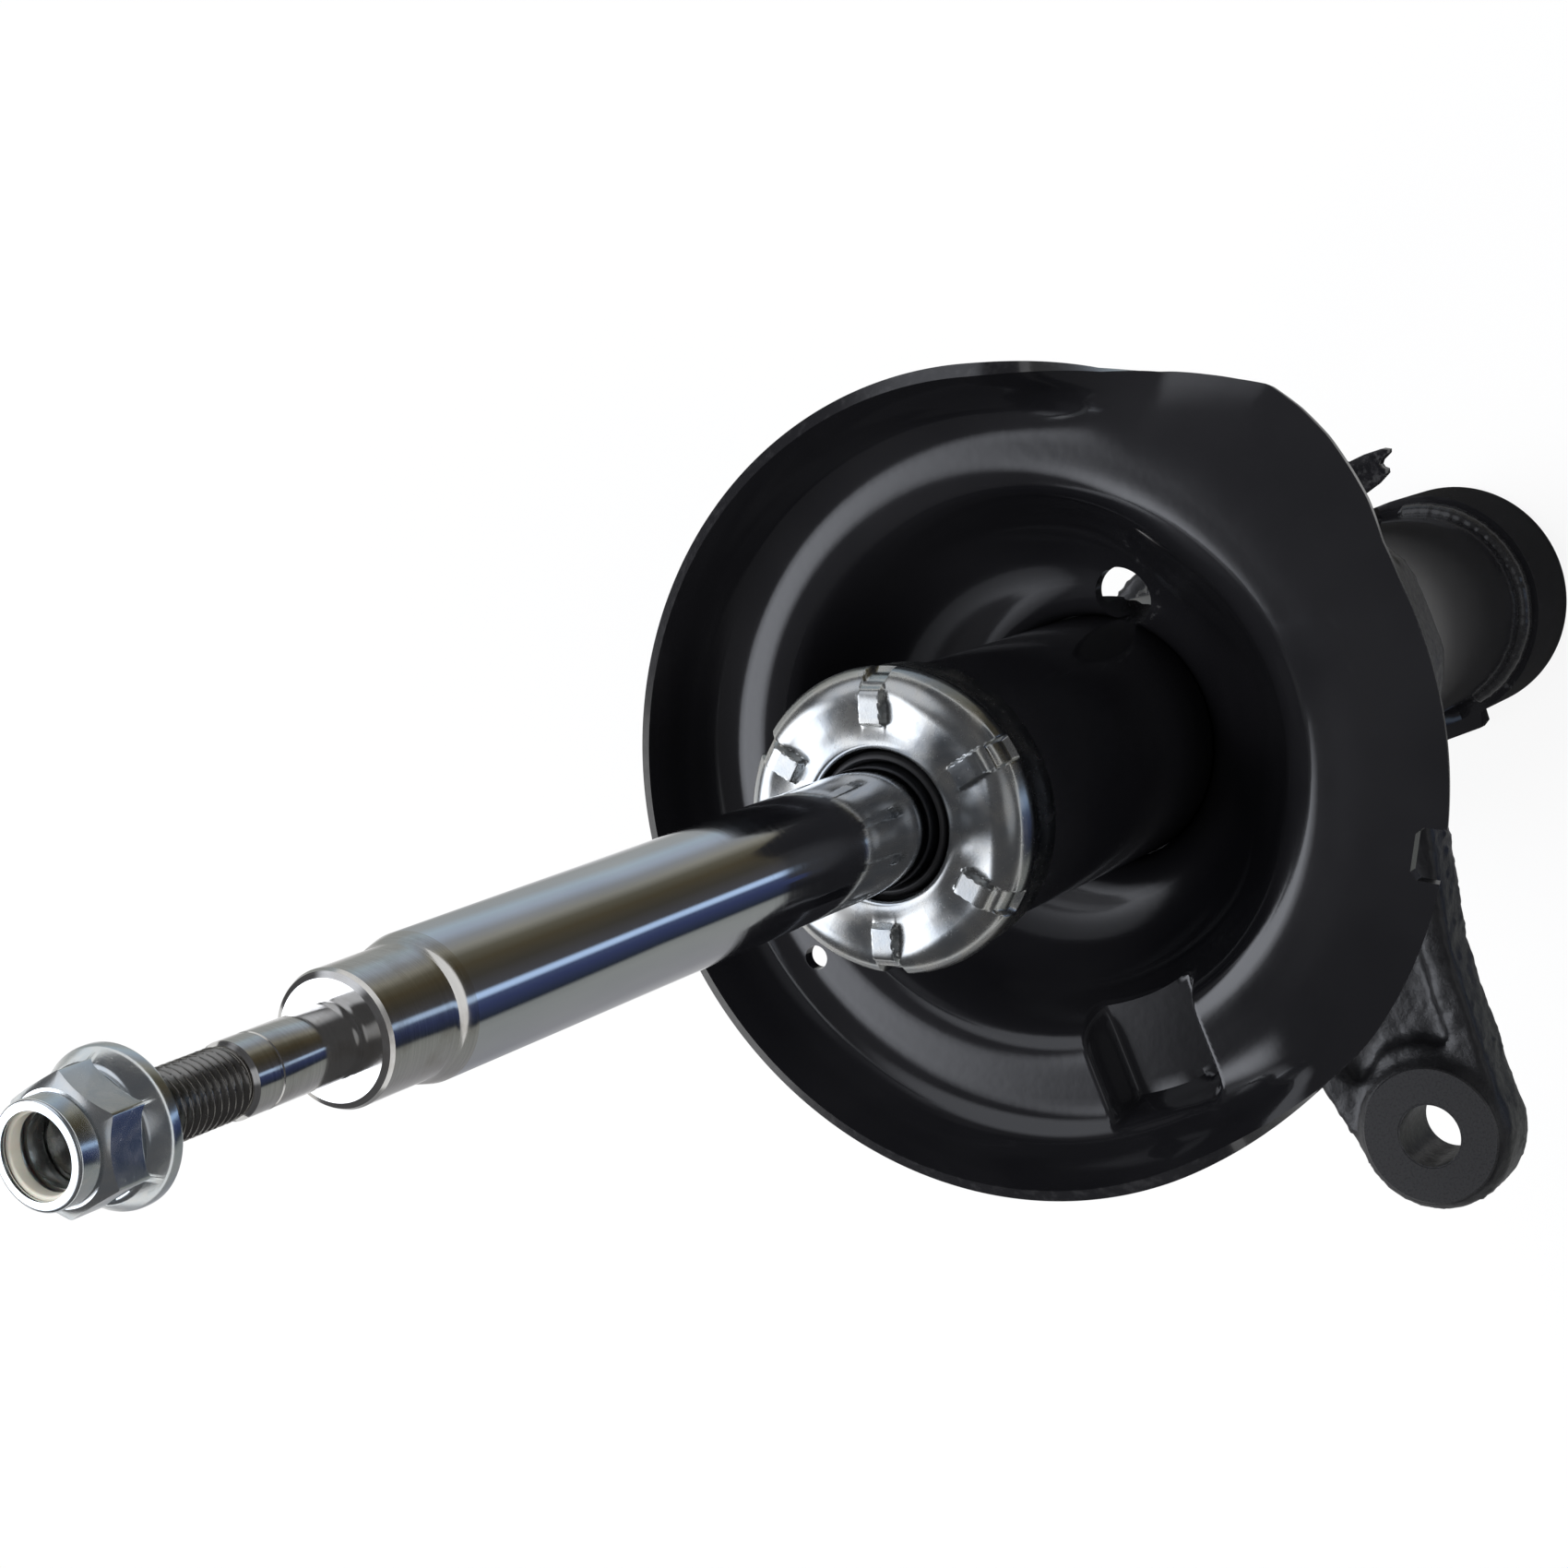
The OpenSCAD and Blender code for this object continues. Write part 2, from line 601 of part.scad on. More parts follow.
module steering_arm() {
  rib_low_z = arm_mid_z - arm_t / 2;
  rib_top_z = arm_mid_z + arm_t / 2;
  gusset_w = 9;
  gusset_reach = eye_y - eye_d - 4;
  color([0.04, 0.04, 0.042]) difference() {
    union() {
      slab(rib_low_z, rib_top_z) arm_outline();
      translate([eye_x, eye_y, arm_top_z - eye_t]) cylinder(d = eye_d, h = eye_t);
      translate([0, 0, arm_collar_foot_z]) cylinder(r = arm_collar_r, h = arm_collar_h);
      translate([-gusset_w / 2, 0, 0]) rotate([90, 0, 90]) linear_extrude(height = gusset_w) polygon([
        [arm_collar_r - 2, arm_mid_z], [gusset_reach, arm_mid_z], [gusset_reach, rib_low_z + 1],
        [arm_collar_r + 4, arm_collar_foot_z + 10], [arm_collar_r - 2, arm_collar_foot_z + 3]
      ]);
    }
    slab(rib_top_z - arm_hollow_h, rib_top_z + 1) arm_hollow_outline();
    slab(rib_low_z - 1, rib_low_z + arm_hollow_h) difference() {
      arm_hollow_outline();
      translate([-gusset_w / 2, 0]) square([gusset_w, eye_y]);
    }
    translate([0, 0, arm_collar_foot_z - 1]) cylinder(r = neck_r, h = arm_collar_h + 2);
    translate([eye_x, eye_y, arm_top_z - eye_t - 1]) cylinder(d = eye_bore, h = eye_t + 2);
  }
}

module steering_arm_weld() {
  color([0.05, 0.05, 0.05]) {
    weld_ring(arm_collar_top_z, 1, arm_collar_wall - 1);
    weld_ring(arm_collar_foot_z, -1, arm_collar_wall - 1);
  }
}

// Plan outline of the bracket: it wraps the tube, closes in behind it and runs to the knuckle.
module bracket_outline() {
  difference() {
    circle(r = bracket_out_r);
    circle(r = bracket_in_r);
    translate([0, -tube_d]) square([tube_d, 2 * tube_d]);
  }
  for (s = [0, 1]) mirror([0, s])
    polygon(sheet_outline([[0, bracket_in_r], [ear_bend_from, bracket_in_r], [ear_bend_to, ear_gap / 2],
      [ear_reach, ear_gap / 2]], -bracket_t));
}

module knuckle_bracket() {
  corner_cut = 14;
  color([0.03, 0.03, 0.035]) difference() {
    union() {
      slab(bracket_foot_z, bracket_top_z) bracket_outline();
      translate([ear_lip_from, bracket_out_r - bracket_t / 2, bracket_foot_z])
        cube([ear_bend_from - ear_lip_from, bracket_t / 2 + ear_lip_w, bracket_t]);
    }
    translate([0, tube_d, 0]) rotate([90, 0, 0]) linear_extrude(height = 2 * tube_d) polygon([
      [-tube_d, band_wrap_top_z], [2, band_wrap_top_z], [ear_bend_to, bracket_top_z],
      [ear_bend_to, bracket_top_z + 1], [-tube_d, bracket_top_z + 1]
    ]);
    for (z = [-bolt_spacing / 2, bolt_spacing / 2]) translate([bolt_reach, 0, bolt_mid_z + z])
      rotate([90, 0, 0]) cylinder(d = bolt_hole_d, h = 4 * tube_d, center = true);
    for (z = [bracket_foot_z, bracket_top_z]) translate([ear_reach, 0, z]) rotate([0, 45, 0])
      cube([corner_cut, 4 * tube_d, corner_cut], center = true);
  }
}

// Bead along the band's top and bottom edges, on the side away from the ears.
module knuckle_bracket_weld() {
  color([0.05, 0.05, 0.05]) intersection() {
    union() {
      weld_ring(band_wrap_top_z, 1, bracket_t - 1);
      intersection() {
        ring(bracket_in_r - eps, tube_r + 2.4, tube_foot_z, bracket_foot_z);
        weld_ring(bracket_foot_z, -1, bracket_t - 1);
      }
    }
    translate([-2 * tube_r, -tube_d, bracket_foot_z - tube_d])
      cube([2 * tube_r, 2 * tube_d, bracket_h + 2 * tube_d]);
  }
}

// Plan outline of the hose bracket, from the tube's wall out to its notched finger.
module hose_outline() {
  difference() {
    polygon([
      [2, -20], [-12, -17], [-13, -27], [-22.6, -30], [-22.2, -32.2], [-24.6, -34.6], [-14, -35.5],
      [-12, -44], [-6, -48], [1, -46], [4, -38]
    ]);
    circle(r = neck_r);
    translate(hose_hole_pos) circle(d = hose_hole_d);
  }
}

module hose_bracket() {
  color([0.03, 0.03, 0.035]) {
    slab(hose_top_z - hose_t, hose_top_z) hose_outline();
    intersection() {
      ring(neck_r, neck_r + hose_t, hose_top_z - hose_foot_h, hose_top_z);
      slab(hose_top_z - hose_foot_h, hose_top_z) wedge(hose_turn - 18, hose_turn + 18, 2 * tube_d);
    }
  }
}

module hose_bracket_weld() {
  color([0.05, 0.05, 0.05]) intersection() {
    weld_ring(hose_top_z - hose_foot_h, -1, hose_t - 0.5);
    slab(hose_top_z - 2 * hose_foot_h, hose_top_z) wedge(hose_turn - 16, hose_turn + 16, 2 * tube_d);
  }
}

piston_rod();
rod_nut();
nut_locking_ring();
tube_cap();
oil_seal();
rod_guide();
guide_bush();
rebound_bumper();
rebound_collar();
piston_stop_plate();
piston_check_plate();
piston();
piston_band();
piston_valve_discs();
piston_nut();
working_cylinder();
foot_valve_body();
foot_valve_discs();
foot_valve_rivet();
reservoir_tube();
base_cup();
base_weld();
spring_seat();
spring_seat_weld();
steering_arm();
steering_arm_weld();
knuckle_bracket();
knuckle_bracket_weld();
hose_bracket();
hose_bracket_weld();
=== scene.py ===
"""Looks of the suspension strut: camera, light, floor, finishes and the detailed pieces."""
import bpy, bmesh, json, math
import numpy as np
from mathutils import Matrix, Vector
from mathutils import noise as mnoise


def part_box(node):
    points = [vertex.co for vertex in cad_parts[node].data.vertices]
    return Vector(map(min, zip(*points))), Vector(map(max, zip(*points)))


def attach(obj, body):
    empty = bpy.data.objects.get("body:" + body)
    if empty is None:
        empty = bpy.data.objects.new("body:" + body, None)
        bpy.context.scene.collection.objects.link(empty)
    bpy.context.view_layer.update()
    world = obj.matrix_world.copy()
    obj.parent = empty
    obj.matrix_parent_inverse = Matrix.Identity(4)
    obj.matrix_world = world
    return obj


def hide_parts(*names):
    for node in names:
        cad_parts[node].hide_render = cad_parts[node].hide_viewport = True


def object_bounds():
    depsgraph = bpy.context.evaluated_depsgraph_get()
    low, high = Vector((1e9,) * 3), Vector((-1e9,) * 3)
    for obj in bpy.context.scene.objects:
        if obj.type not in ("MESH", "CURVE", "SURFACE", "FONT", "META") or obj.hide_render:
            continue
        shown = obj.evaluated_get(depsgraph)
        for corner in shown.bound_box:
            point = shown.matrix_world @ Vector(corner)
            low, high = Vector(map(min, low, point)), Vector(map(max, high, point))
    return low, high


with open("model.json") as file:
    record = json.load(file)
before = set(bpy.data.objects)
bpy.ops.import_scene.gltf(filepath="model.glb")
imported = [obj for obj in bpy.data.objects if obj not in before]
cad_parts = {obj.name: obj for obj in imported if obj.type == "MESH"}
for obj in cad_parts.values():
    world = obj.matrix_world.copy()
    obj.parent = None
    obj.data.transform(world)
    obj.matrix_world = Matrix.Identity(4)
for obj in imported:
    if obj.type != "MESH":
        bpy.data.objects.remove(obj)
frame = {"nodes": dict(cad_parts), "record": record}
cad_box = [list(map(float, corner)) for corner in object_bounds()]
scene = bpy.context.scene
MM = 0.001

# ---------------------------------------------------------------- sizes, in millimetres
mounts = {m["name"]: m for m in frame["record"]["mounts"]}


def low(node):
    """Lowest corner of a CAD node in millimetres."""
    return [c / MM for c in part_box(node)[0]]


def high(node):
    """Highest corner of a CAD node in millimetres."""
    return [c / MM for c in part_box(node)[1]]


ROD_R = high("piston_rod")[0]
STUD_TOP = high("piston_rod")[2]
ROD_FOOT = low("piston_rod")[2]
SHANK_R = mounts["upper_stud"]["dims"]["r_mm"]
SHANK_LEN = mounts["upper_stud"]["dims"]["length_mm"]
THREAD_R, THREAD_DEPTH = 4.6, 0.7
SHOULDER_R = 9.0
SHOULDER_LEN = 14.0
SPIGOT_R = 6.0
CAP_TOP = -140.0
CAP_FOOT = low("tube_cap")[2]
CAP_R = 24.35
TUBE_R = high("reservoir_tube")[0]
TUBE_TOP = high("reservoir_tube")[2]
TUBE_FOOT = low("reservoir_tube")[2]
SEAT_Z = mounts["spring_seat_face"]["pos_m"][2] / MM
EYE_X, EYE_Y, EYE_Z = (c / MM for c in mounts["steering_arm_eye"]["pos_m"])
EYE_BORE_R = mounts["steering_arm_eye"]["dims"]["r_mm"]
EYE_T = mounts["steering_arm_eye"]["dims"]["length_mm"]
ARM_TOP = EYE_Z + EYE_T / 2
BRACKET_TOP = high("knuckle_bracket")[2]
BRACKET_FOOT = low("knuckle_bracket")[2]


# ---------------------------------------------------------------- node helpers
class Nodes:
    """Adds nodes to one tree, and sets or links their sockets."""

    def __init__(self, tree):
        self.tree = tree

    def add(self, kind, **fields):
        node = self.tree.nodes.new(kind)
        for key, value in fields.items():
            setattr(node, key, value)
        return node

    def put(self, socket, value):
        """Links a socket, or sets its value. A colour may be given without its alpha."""
        if isinstance(value, bpy.types.NodeSocket):
            self.tree.links.new(value, socket)
        elif socket.type == "RGBA":
            socket.default_value = (*value, 1)
        else:
            socket.default_value = value

    def math(self, kind, *values):
        node = self.add("ShaderNodeMath", operation=kind)
        for socket, value in zip(node.inputs, values):
            self.put(socket, value)
        return node.outputs[0]

    def mix(self, share, first, second, **fields):
        """Blends two colours by a share from 0 to 1."""
        node = self.add("ShaderNodeMix", data_type="RGBA", **fields)
        for index, value in ((0, share), (6, first), (7, second)):
            self.put(node.inputs[index], value)
        return node.outputs[2]

    def span(self, value, a, b, c, d, **fields):
        """Maps the range from a to b onto the range from c to d."""
        node = self.add("ShaderNodeMapRange", **fields)
        self.put(node.inputs["Value"], value)
        for name, number in (("From Min", a), ("From Max", b), ("To Min", c), ("To Max", d)):
            node.inputs[name].default_value = number
        return node.outputs[0]


class Finish(Nodes):
    """One material, with short calls for patterns on its Object coordinates."""

    def __init__(self, name):
        self.mat = bpy.data.materials.new(name)
        self.mat.use_nodes = True
        super().__init__(self.mat.node_tree)
        self.tree.nodes.clear()
        self.out = self.add("ShaderNodeOutputMaterial")
        self.shader = self.add("ShaderNodeBsdfPrincipled")
        self.put(self.out.inputs[0], self.shader.outputs[0])
        self.coord = self.add("ShaderNodeTexCoord").outputs["Object"]

    def set(self, **values):
        """Sets the shader's own sockets, by name."""
        for name, value in values.items():
            self.put(self.shader.inputs[name.replace("_", " ")], value)

    def mapped(self, scale=(1, 1, 1), move=(0, 0, 0), turn=(0, 0, 0)):
        node = self.add("ShaderNodeMapping")
        self.put(node.inputs["Vector"], self.coord)
        for name, value in (("Scale", scale), ("Location", move), ("Rotation", turn)):
            node.inputs[name].default_value = value
        return node.outputs[0]

    def noise(self, size_mm, detail=3.0, rough=0.5, vector=None, distort=0.0):
        node = self.add("ShaderNodeTexNoise")
        for name, value in (("Vector", vector or self.coord), ("Scale", 1.0 / (size_mm * MM)),
                            ("Detail", detail), ("Roughness", rough), ("Distortion", distort)):
            self.put(node.inputs[name], value)
        return node.outputs["Fac"]

    def cells(self, size_mm):
        node = self.add("ShaderNodeTexVoronoi")
        self.put(node.inputs["Vector"], self.coord)
        self.put(node.inputs["Scale"], 1.0 / (size_mm * MM))
        return node.outputs["Distance"]

    def ramp(self, share, *stops):
        """Tones along a share, each stop a place and a grey or a colour."""
        node = self.add("ShaderNodeValToRGB")
        self.put(node.inputs[0], share)
        points = node.color_ramp.elements
        while len(points) < len(stops):
            points.new(0.5)
        for point, (spot, tone) in zip(points, stops):
            point.position = spot
            point.color = (*tone, 1) if isinstance(tone, tuple) else (tone, tone, tone, 1)
        return node.outputs[0]

    def spread(self, pattern, lowest, highest):
        """Takes the middle of a noise's range from lowest to highest."""
        return self.span(pattern, 0.3, 0.7, lowest, highest)

    def firm(self, pattern):
        """A noise with more contrast, from 0 to 1."""
        return self.span(pattern, 0.35, 0.65, 0.0, 1.0)

    def distance(self, vector):
        """Length of a vector, in metres."""
        node = self.add("ShaderNodeVectorMath", operation="LENGTH")
        self.put(node.inputs[0], vector)
        return node.outputs["Value"]

    def bump(self, height, depth_mm, strength):
        """Adds a relief on top of those the shader has."""
        node = self.add("ShaderNodeBump")
        self.put(node.inputs["Strength"], strength)
        self.put(node.inputs["Distance"], depth_mm * MM)
        self.put(node.inputs["Height"], height)
        normal = self.shader.inputs["Normal"]
        if normal.is_linked:
            self.put(node.inputs["Normal"], normal.links[0].from_socket)
        self.put(normal, node.outputs[0])

    def edges(self, start, full):
        """Share of wear, from how sharply the surface bends outwards."""
        pointy = self.add("ShaderNodeNewGeometry").outputs["Pointiness"]
        return self.span(pointy, start, full, 0.0, 1.0)


def gloss_black_paint():
    """Dipped paint: orange peel, a few dust specks and wear on the sharp edges."""
    f = Finish("gloss_black_paint")
    peel, drift = f.noise(1.6, 2.0, 0.45), f.noise(38.0, 3.0, 0.55)
    dust = f.ramp(f.noise(0.9, 4.0, 0.7), (0.66, 0.0), (0.80, 1.0))
    base = f.mix(f.firm(drift), (0.0065, 0.0065, 0.0078), (0.0105, 0.0105, 0.012))
    patchy = f.ramp(f.noise(1.8, 5.0, 0.65), (0.50, 0.0), (0.66, 1.0))
    worn = f.math("MULTIPLY", f.math("MULTIPLY", f.edges(0.57, 0.66), patchy), 0.30)
    f.set(Base_Color=f.mix(worn, base, (0.16, 0.16, 0.165)))
    f.set(Roughness=f.math("ADD", f.spread(drift, 0.10, 0.17), f.math("MULTIPLY", dust, 0.10)))
    f.set(IOR=1.5, Coat_Weight=0.35, Coat_Roughness=0.05)
    f.bump(peel, 0.020, 0.35)
    f.bump(f.noise(9.0, 2.0, 0.5), 0.05, 0.22)
    return f.mat


def cast_black_paint():
    """Paint over sand-cast iron: grains, pits and soft lumps."""
    f = Finish("cast_black_paint")
    sand, lumps = f.noise(0.9, 5.0, 0.65), f.noise(6.0, 3.0, 0.5)
    f.set(Base_Color=f.mix(f.spread(lumps, 0.0, 1.0), (0.007, 0.007, 0.008), (0.014, 0.014, 0.015)))
    f.set(Roughness=f.spread(sand, 0.30, 0.46), IOR=1.5, Coat_Weight=0.2, Coat_Roughness=0.22)
    f.bump(sand, 0.22, 0.55)
    f.bump(f.span(f.cells(2.4), 0.0, 0.7, 0.0, 1.0), 0.16, 0.35)
    f.bump(lumps, 0.5, 0.4)
    return f.mat


def machined_black_face():
    """The arm's eye: turned flat before painting, so it is smooth and a shade lighter."""
    f = Finish("machined_black_face")
    fine = f.noise(0.5, 3.0, 0.6)
    from_eye = f.distance(f.mapped((1, 1, 0), (-EYE_X * MM, -EYE_Y * MM, 0)))
    turning = f.math("SINE", f.math("MULTIPLY", from_eye, 14000.0))
    f.set(Base_Color=f.mix(fine, (0.018, 0.018, 0.019), (0.027, 0.027, 0.028)))
    f.set(Roughness=f.spread(fine, 0.24, 0.34), IOR=1.5, Coat_Weight=0.2, Coat_Roughness=0.15)
    f.bump(turning, 0.006, 0.25)
    f.bump(fine, 0.02, 0.3)
    return f.mat


def weld_paint():
    """Paint over a weld bead's fine grain."""
    f = Finish("weld_paint")
    grain = f.noise(0.8, 4.0, 0.6)
    f.set(Base_Color=f.mix(grain, (0.008, 0.008, 0.009), (0.020, 0.020, 0.021)))
    f.set(Roughness=f.spread(grain, 0.16, 0.32), IOR=1.5, Coat_Weight=0.3, Coat_Roughness=0.08)
    f.bump(grain, 0.12, 0.5)
    return f.mat


def chromed_steel():
    """Hard chrome, ground and polished round the rod: faint hoops and a slight blue."""
    f = Finish("chromed_steel")
    hoops = f.noise(0.25, 2.0, 0.5, f.mapped((0.02, 0.02, 1.0)))
    smear = f.noise(14.0, 3.0, 0.6, f.mapped((1.0, 1.0, 0.25)))
    f.set(Metallic=1.0, Base_Color=f.mix(f.firm(smear), (0.66, 0.685, 0.73), (0.76, 0.775, 0.80)))
    f.set(Roughness=f.spread(hoops, 0.045, 0.095))
    f.bump(hoops, 0.0012, 0.18)
    return f.mat


def ground_steel():
    """The shoulder and shank: ground bright, with faint hoops and a light brown stain."""
    f = Finish("ground_steel")
    hoops = f.noise(0.22, 2.0, 0.5, f.mapped((0.02, 0.02, 1.0)))
    stain = f.ramp(f.noise(7.0, 4.0, 0.6), (0.50, 0.0), (0.68, 1.0))
    plain = f.mix(f.spread(hoops, 0.0, 1.0), (0.58, 0.575, 0.56), (0.68, 0.67, 0.65))
    f.set(Metallic=1.0, Base_Color=f.mix(f.math("MULTIPLY", stain, 0.35), plain, (0.30, 0.25, 0.19)))
    f.set(Roughness=f.math("ADD", f.spread(hoops, 0.075, 0.13), f.math("MULTIPLY", stain, 0.05)))
    f.bump(hoops, 0.0015, 0.2)
    return f.mat


def oiled_thread():
    """Dark rolled thread under a film of oil."""
    f = Finish("oiled_thread")
    grain, oil = f.noise(0.35, 4.0, 0.6), f.noise(5.0, 3.0, 0.5)
    f.set(Metallic=1.0, Base_Color=f.mix(oil, (0.14, 0.135, 0.125), (0.30, 0.29, 0.27)))
    f.set(Roughness=f.spread(grain, 0.16, 0.28))
    f.bump(grain, 0.02, 0.4)
    return f.mat


def bright_zinc(name, cold, warm, smoothest, dullest, mottling_mm):
    """Zinc plating: soft mottling between a bluish and a warmer tone, with small dull specks."""
    f = Finish(name)
    mottle = f.noise(mottling_mm, 5.0, 0.6, distort=0.6)
    speck = f.ramp(f.noise(1.3, 5.0, 0.7), (0.60, 0.0), (0.74, 1.0))
    tone = f.mix(f.firm(mottle), cold, warm)
    f.set(Metallic=1.0, Base_Color=f.mix(f.math("MULTIPLY", speck, 0.3), tone, (0.42, 0.42, 0.40)))
    dull = f.math("MULTIPLY", speck, 0.12)
    f.set(Roughness=f.math("ADD", f.spread(mottle, smoothest, dullest), dull))
    f.bump(f.noise(2.8, 3.0, 0.5), 0.05, 0.35)
    f.bump(f.noise(0.35, 3.0, 0.6), 0.010, 0.4)
    return f.mat


def cream_nylon():
    """Cream nylon, cloudy and slightly translucent."""
    f = Finish("cream_nylon")
    cloud = f.noise(2.2, 3.0, 0.5)
    f.set(Base_Color=f.mix(cloud, (0.62, 0.58, 0.48), (0.78, 0.75, 0.67)))
    f.set(Roughness=f.spread(cloud, 0.34, 0.46), Subsurface_Weight=0.12, Subsurface_Scale=0.002, IOR=1.53)
    f.bump(f.noise(0.6, 3.0, 0.5), 0.03, 0.4)
    return f.mat


def black_rubber():
    """Moulded rubber with a fine matt skin."""
    f = Finish("black_rubber")
    skin = f.noise(0.7, 4.0, 0.6)
    f.set(Base_Color=f.mix(skin, (0.006, 0.006, 0.007), (0.015, 0.015, 0.016)))
    f.set(Roughness=f.spread(skin, 0.34, 0.52), IOR=1.5)
    f.bump(skin, 0.03, 0.4)
    return f.mat


def pressed_iron():
    """Sintered iron: a matt grey of fine grains with open pores."""
    f = Finish("pressed_iron")
    grain = f.noise(0.8, 4.0, 0.6)
    f.set(Metallic=0.9, Base_Color=f.mix(grain, (0.20, 0.20, 0.205), (0.34, 0.34, 0.345)))
    f.set(Roughness=f.spread(grain, 0.42, 0.60))
    f.bump(f.span(f.cells(0.5), 0.0, 0.4, 0.0, 1.0), 0.05, 0.5)
    return f.mat


def bush_bronze():
    """Bronze of the rod guide's bush."""
    f = Finish("bush_bronze")
    grain = f.noise(1.1, 4.0, 0.6)
    f.set(Metallic=1.0, Base_Color=f.mix(grain, (0.48, 0.30, 0.12), (0.66, 0.46, 0.22)))
    f.set(Roughness=f.spread(grain, 0.24, 0.40))
    f.bump(grain, 0.02, 0.4)
    return f.mat


def filled_plastic():
    """Brown filled plastic of the piston's band, with pale flecks."""
    f = Finish("filled_plastic")
    fleck = f.ramp(f.noise(0.6, 4.0, 0.7), (0.55, 0.0), (0.70, 1.0))
    f.set(Base_Color=f.mix(fleck, (0.060, 0.038, 0.026), (0.15, 0.11, 0.08)))
    f.set(Roughness=f.span(fleck, 0.0, 1.0, 0.42, 0.55))
    f.bump(fleck, 0.02, 0.4)
    return f.mat


def drawn_steel():
    """Cold drawn or punched steel, with fine lines along the axis and an oil film."""
    f = Finish("drawn_steel")
    lines, film = f.noise(0.3, 2.0, 0.5, f.mapped((1.0, 1.0, 0.03))), f.noise(11.0, 3.0, 0.5)
    f.set(Metallic=1.0, Base_Color=f.mix(film, (0.40, 0.405, 0.415), (0.56, 0.565, 0.57)))
    f.set(Roughness=f.spread(lines, 0.20, 0.34))
    f.bump(lines, 0.006, 0.35)
    return f.mat


FINISHES = {
    "black_paint": gloss_black_paint(),
    "arm_black": cast_black_paint(),
    "weld_black": weld_paint(),
    "chrome_rod": chromed_steel(),
    "seal_rubber": black_rubber(),
    "nylon_ring": cream_nylon(),
    "sintered_iron": pressed_iron(),
    "bush_bronze": bush_bronze(),
    "band_plastic": filled_plastic(),
    "inner_steel": drawn_steel(),
    "zinc_cap": bright_zinc("zinc_cap", (0.40, 0.425, 0.44), (0.54, 0.535, 0.505), 0.20, 0.30, 7.0),
    "zinc_nut": bright_zinc("zinc_nut", (0.62, 0.68, 0.72), (0.78, 0.79, 0.77), 0.16, 0.25, 5.0),
}
GROUND, THREADED, MACHINED = ground_steel(), oiled_thread(), machined_black_face()
SLOT_OF = {s["node"]: s["material_slot"] for s in frame["record"]["subparts"]}
BODY_OF = {n: b for b, nodes in frame["record"]["behaviour"]["bodies"].items() for n in nodes}


# ---------------------------------------------------------------- mesh helpers
def smooth(x, a, b):
    """0 below a, 1 above b, eased between."""
    t = np.clip((np.asarray(x, float) - a) / (b - a), 0.0, 1.0)
    return t * t * (3 - 2 * t)


def added(name, mesh):
    piece = bpy.data.objects.new(name, mesh)
    scene.collection.objects.link(piece)
    return piece


def mesh_object(name, verts_mm, faces):
    mesh = bpy.data.meshes.new(name)
    mesh.from_pydata([tuple(float(c) * MM for c in v) for v in verts_mm], [], faces)
    mesh.update()
    return added(name, mesh)


def from_bmesh(name, b):
    """Keeps a bmesh as an object, with its faces turned outwards."""
    bmesh.ops.recalc_face_normals(b, faces=b.faces)
    mesh = bpy.data.meshes.new(name)
    b.to_mesh(mesh)
    b.free()
    return added(name, mesh)


def agreed(sheet, is_wrong):
    """Makes an open sheet's faces agree, and turns them over where is_wrong says so."""
    b = bmesh.new()
    b.from_mesh(sheet.data)
    bmesh.ops.recalc_face_normals(b, faces=b.faces)
    if is_wrong(b.faces):
        bmesh.ops.reverse_faces(b, faces=b.faces)
    b.to_mesh(sheet.data)
    b.free()
    return sheet


def net(rows, around=False, along=False):
    """Points and faces of a sheet through equally long rows of points, closed where asked."""
    n, count = len(rows), len(rows[0])
    faces = []
    for i in range(n if around else n - 1):
        j = (i + 1) % n
        for k in range(count if along else count - 1):
            m = (k + 1) % count
            faces.append((i * count + k, j * count + k, j * count + m, i * count + m))
    return [point for row in rows for point in row], faces


def tidy(piece, merge_mm=0.004, angle=35.0):
    """Merges doubles, turns faces outwards and shades smooth with sharp edges kept."""
    b = bmesh.new()
    b.from_mesh(piece.data)
    bmesh.ops.remove_doubles(b, verts=b.verts, dist=merge_mm * MM)
    bmesh.ops.dissolve_degenerate(b, edges=b.edges, dist=1e-7)
    bmesh.ops.recalc_face_normals(b, faces=b.faces)
    limit = math.radians(angle)
    for e in b.edges:
        e.smooth = len(e.link_faces) == 2 and e.calc_face_angle(0) < limit
    for face in b.faces:
        face.smooth = True
    b.to_mesh(piece.data)
    b.free()
    return piece


def modified(piece, *modifiers):
    """Adds modifiers given as (kind, {field: value}) and bakes them into the mesh."""
    for kind, fields in modifiers:
        m = piece.modifiers.new(kind.lower(), kind)
        for key, value in fields.items():
            setattr(m, key, value)
    return baked(piece)


def baked(piece):
    """Keeps what the modifiers make as the piece's own mesh."""
    bpy.context.view_layer.update()
    done = bpy.data.meshes.new_from_object(piece.evaluated_get(bpy.context.evaluated_depsgraph_get()))
    old = piece.data
    piece.modifiers.clear()
    piece.data = done
    bpy.data.meshes.remove(old)
    return piece


def bevelled(piece, width_mm, segments, angle):
    """Rounds the edges that are sharper than an angle in degrees."""
    return modified(piece, ("BEVEL", {"width": width_mm * MM, "segments": segments,
                                      "limit_method": "ANGLE", "angle_limit": math.radians(angle)}))


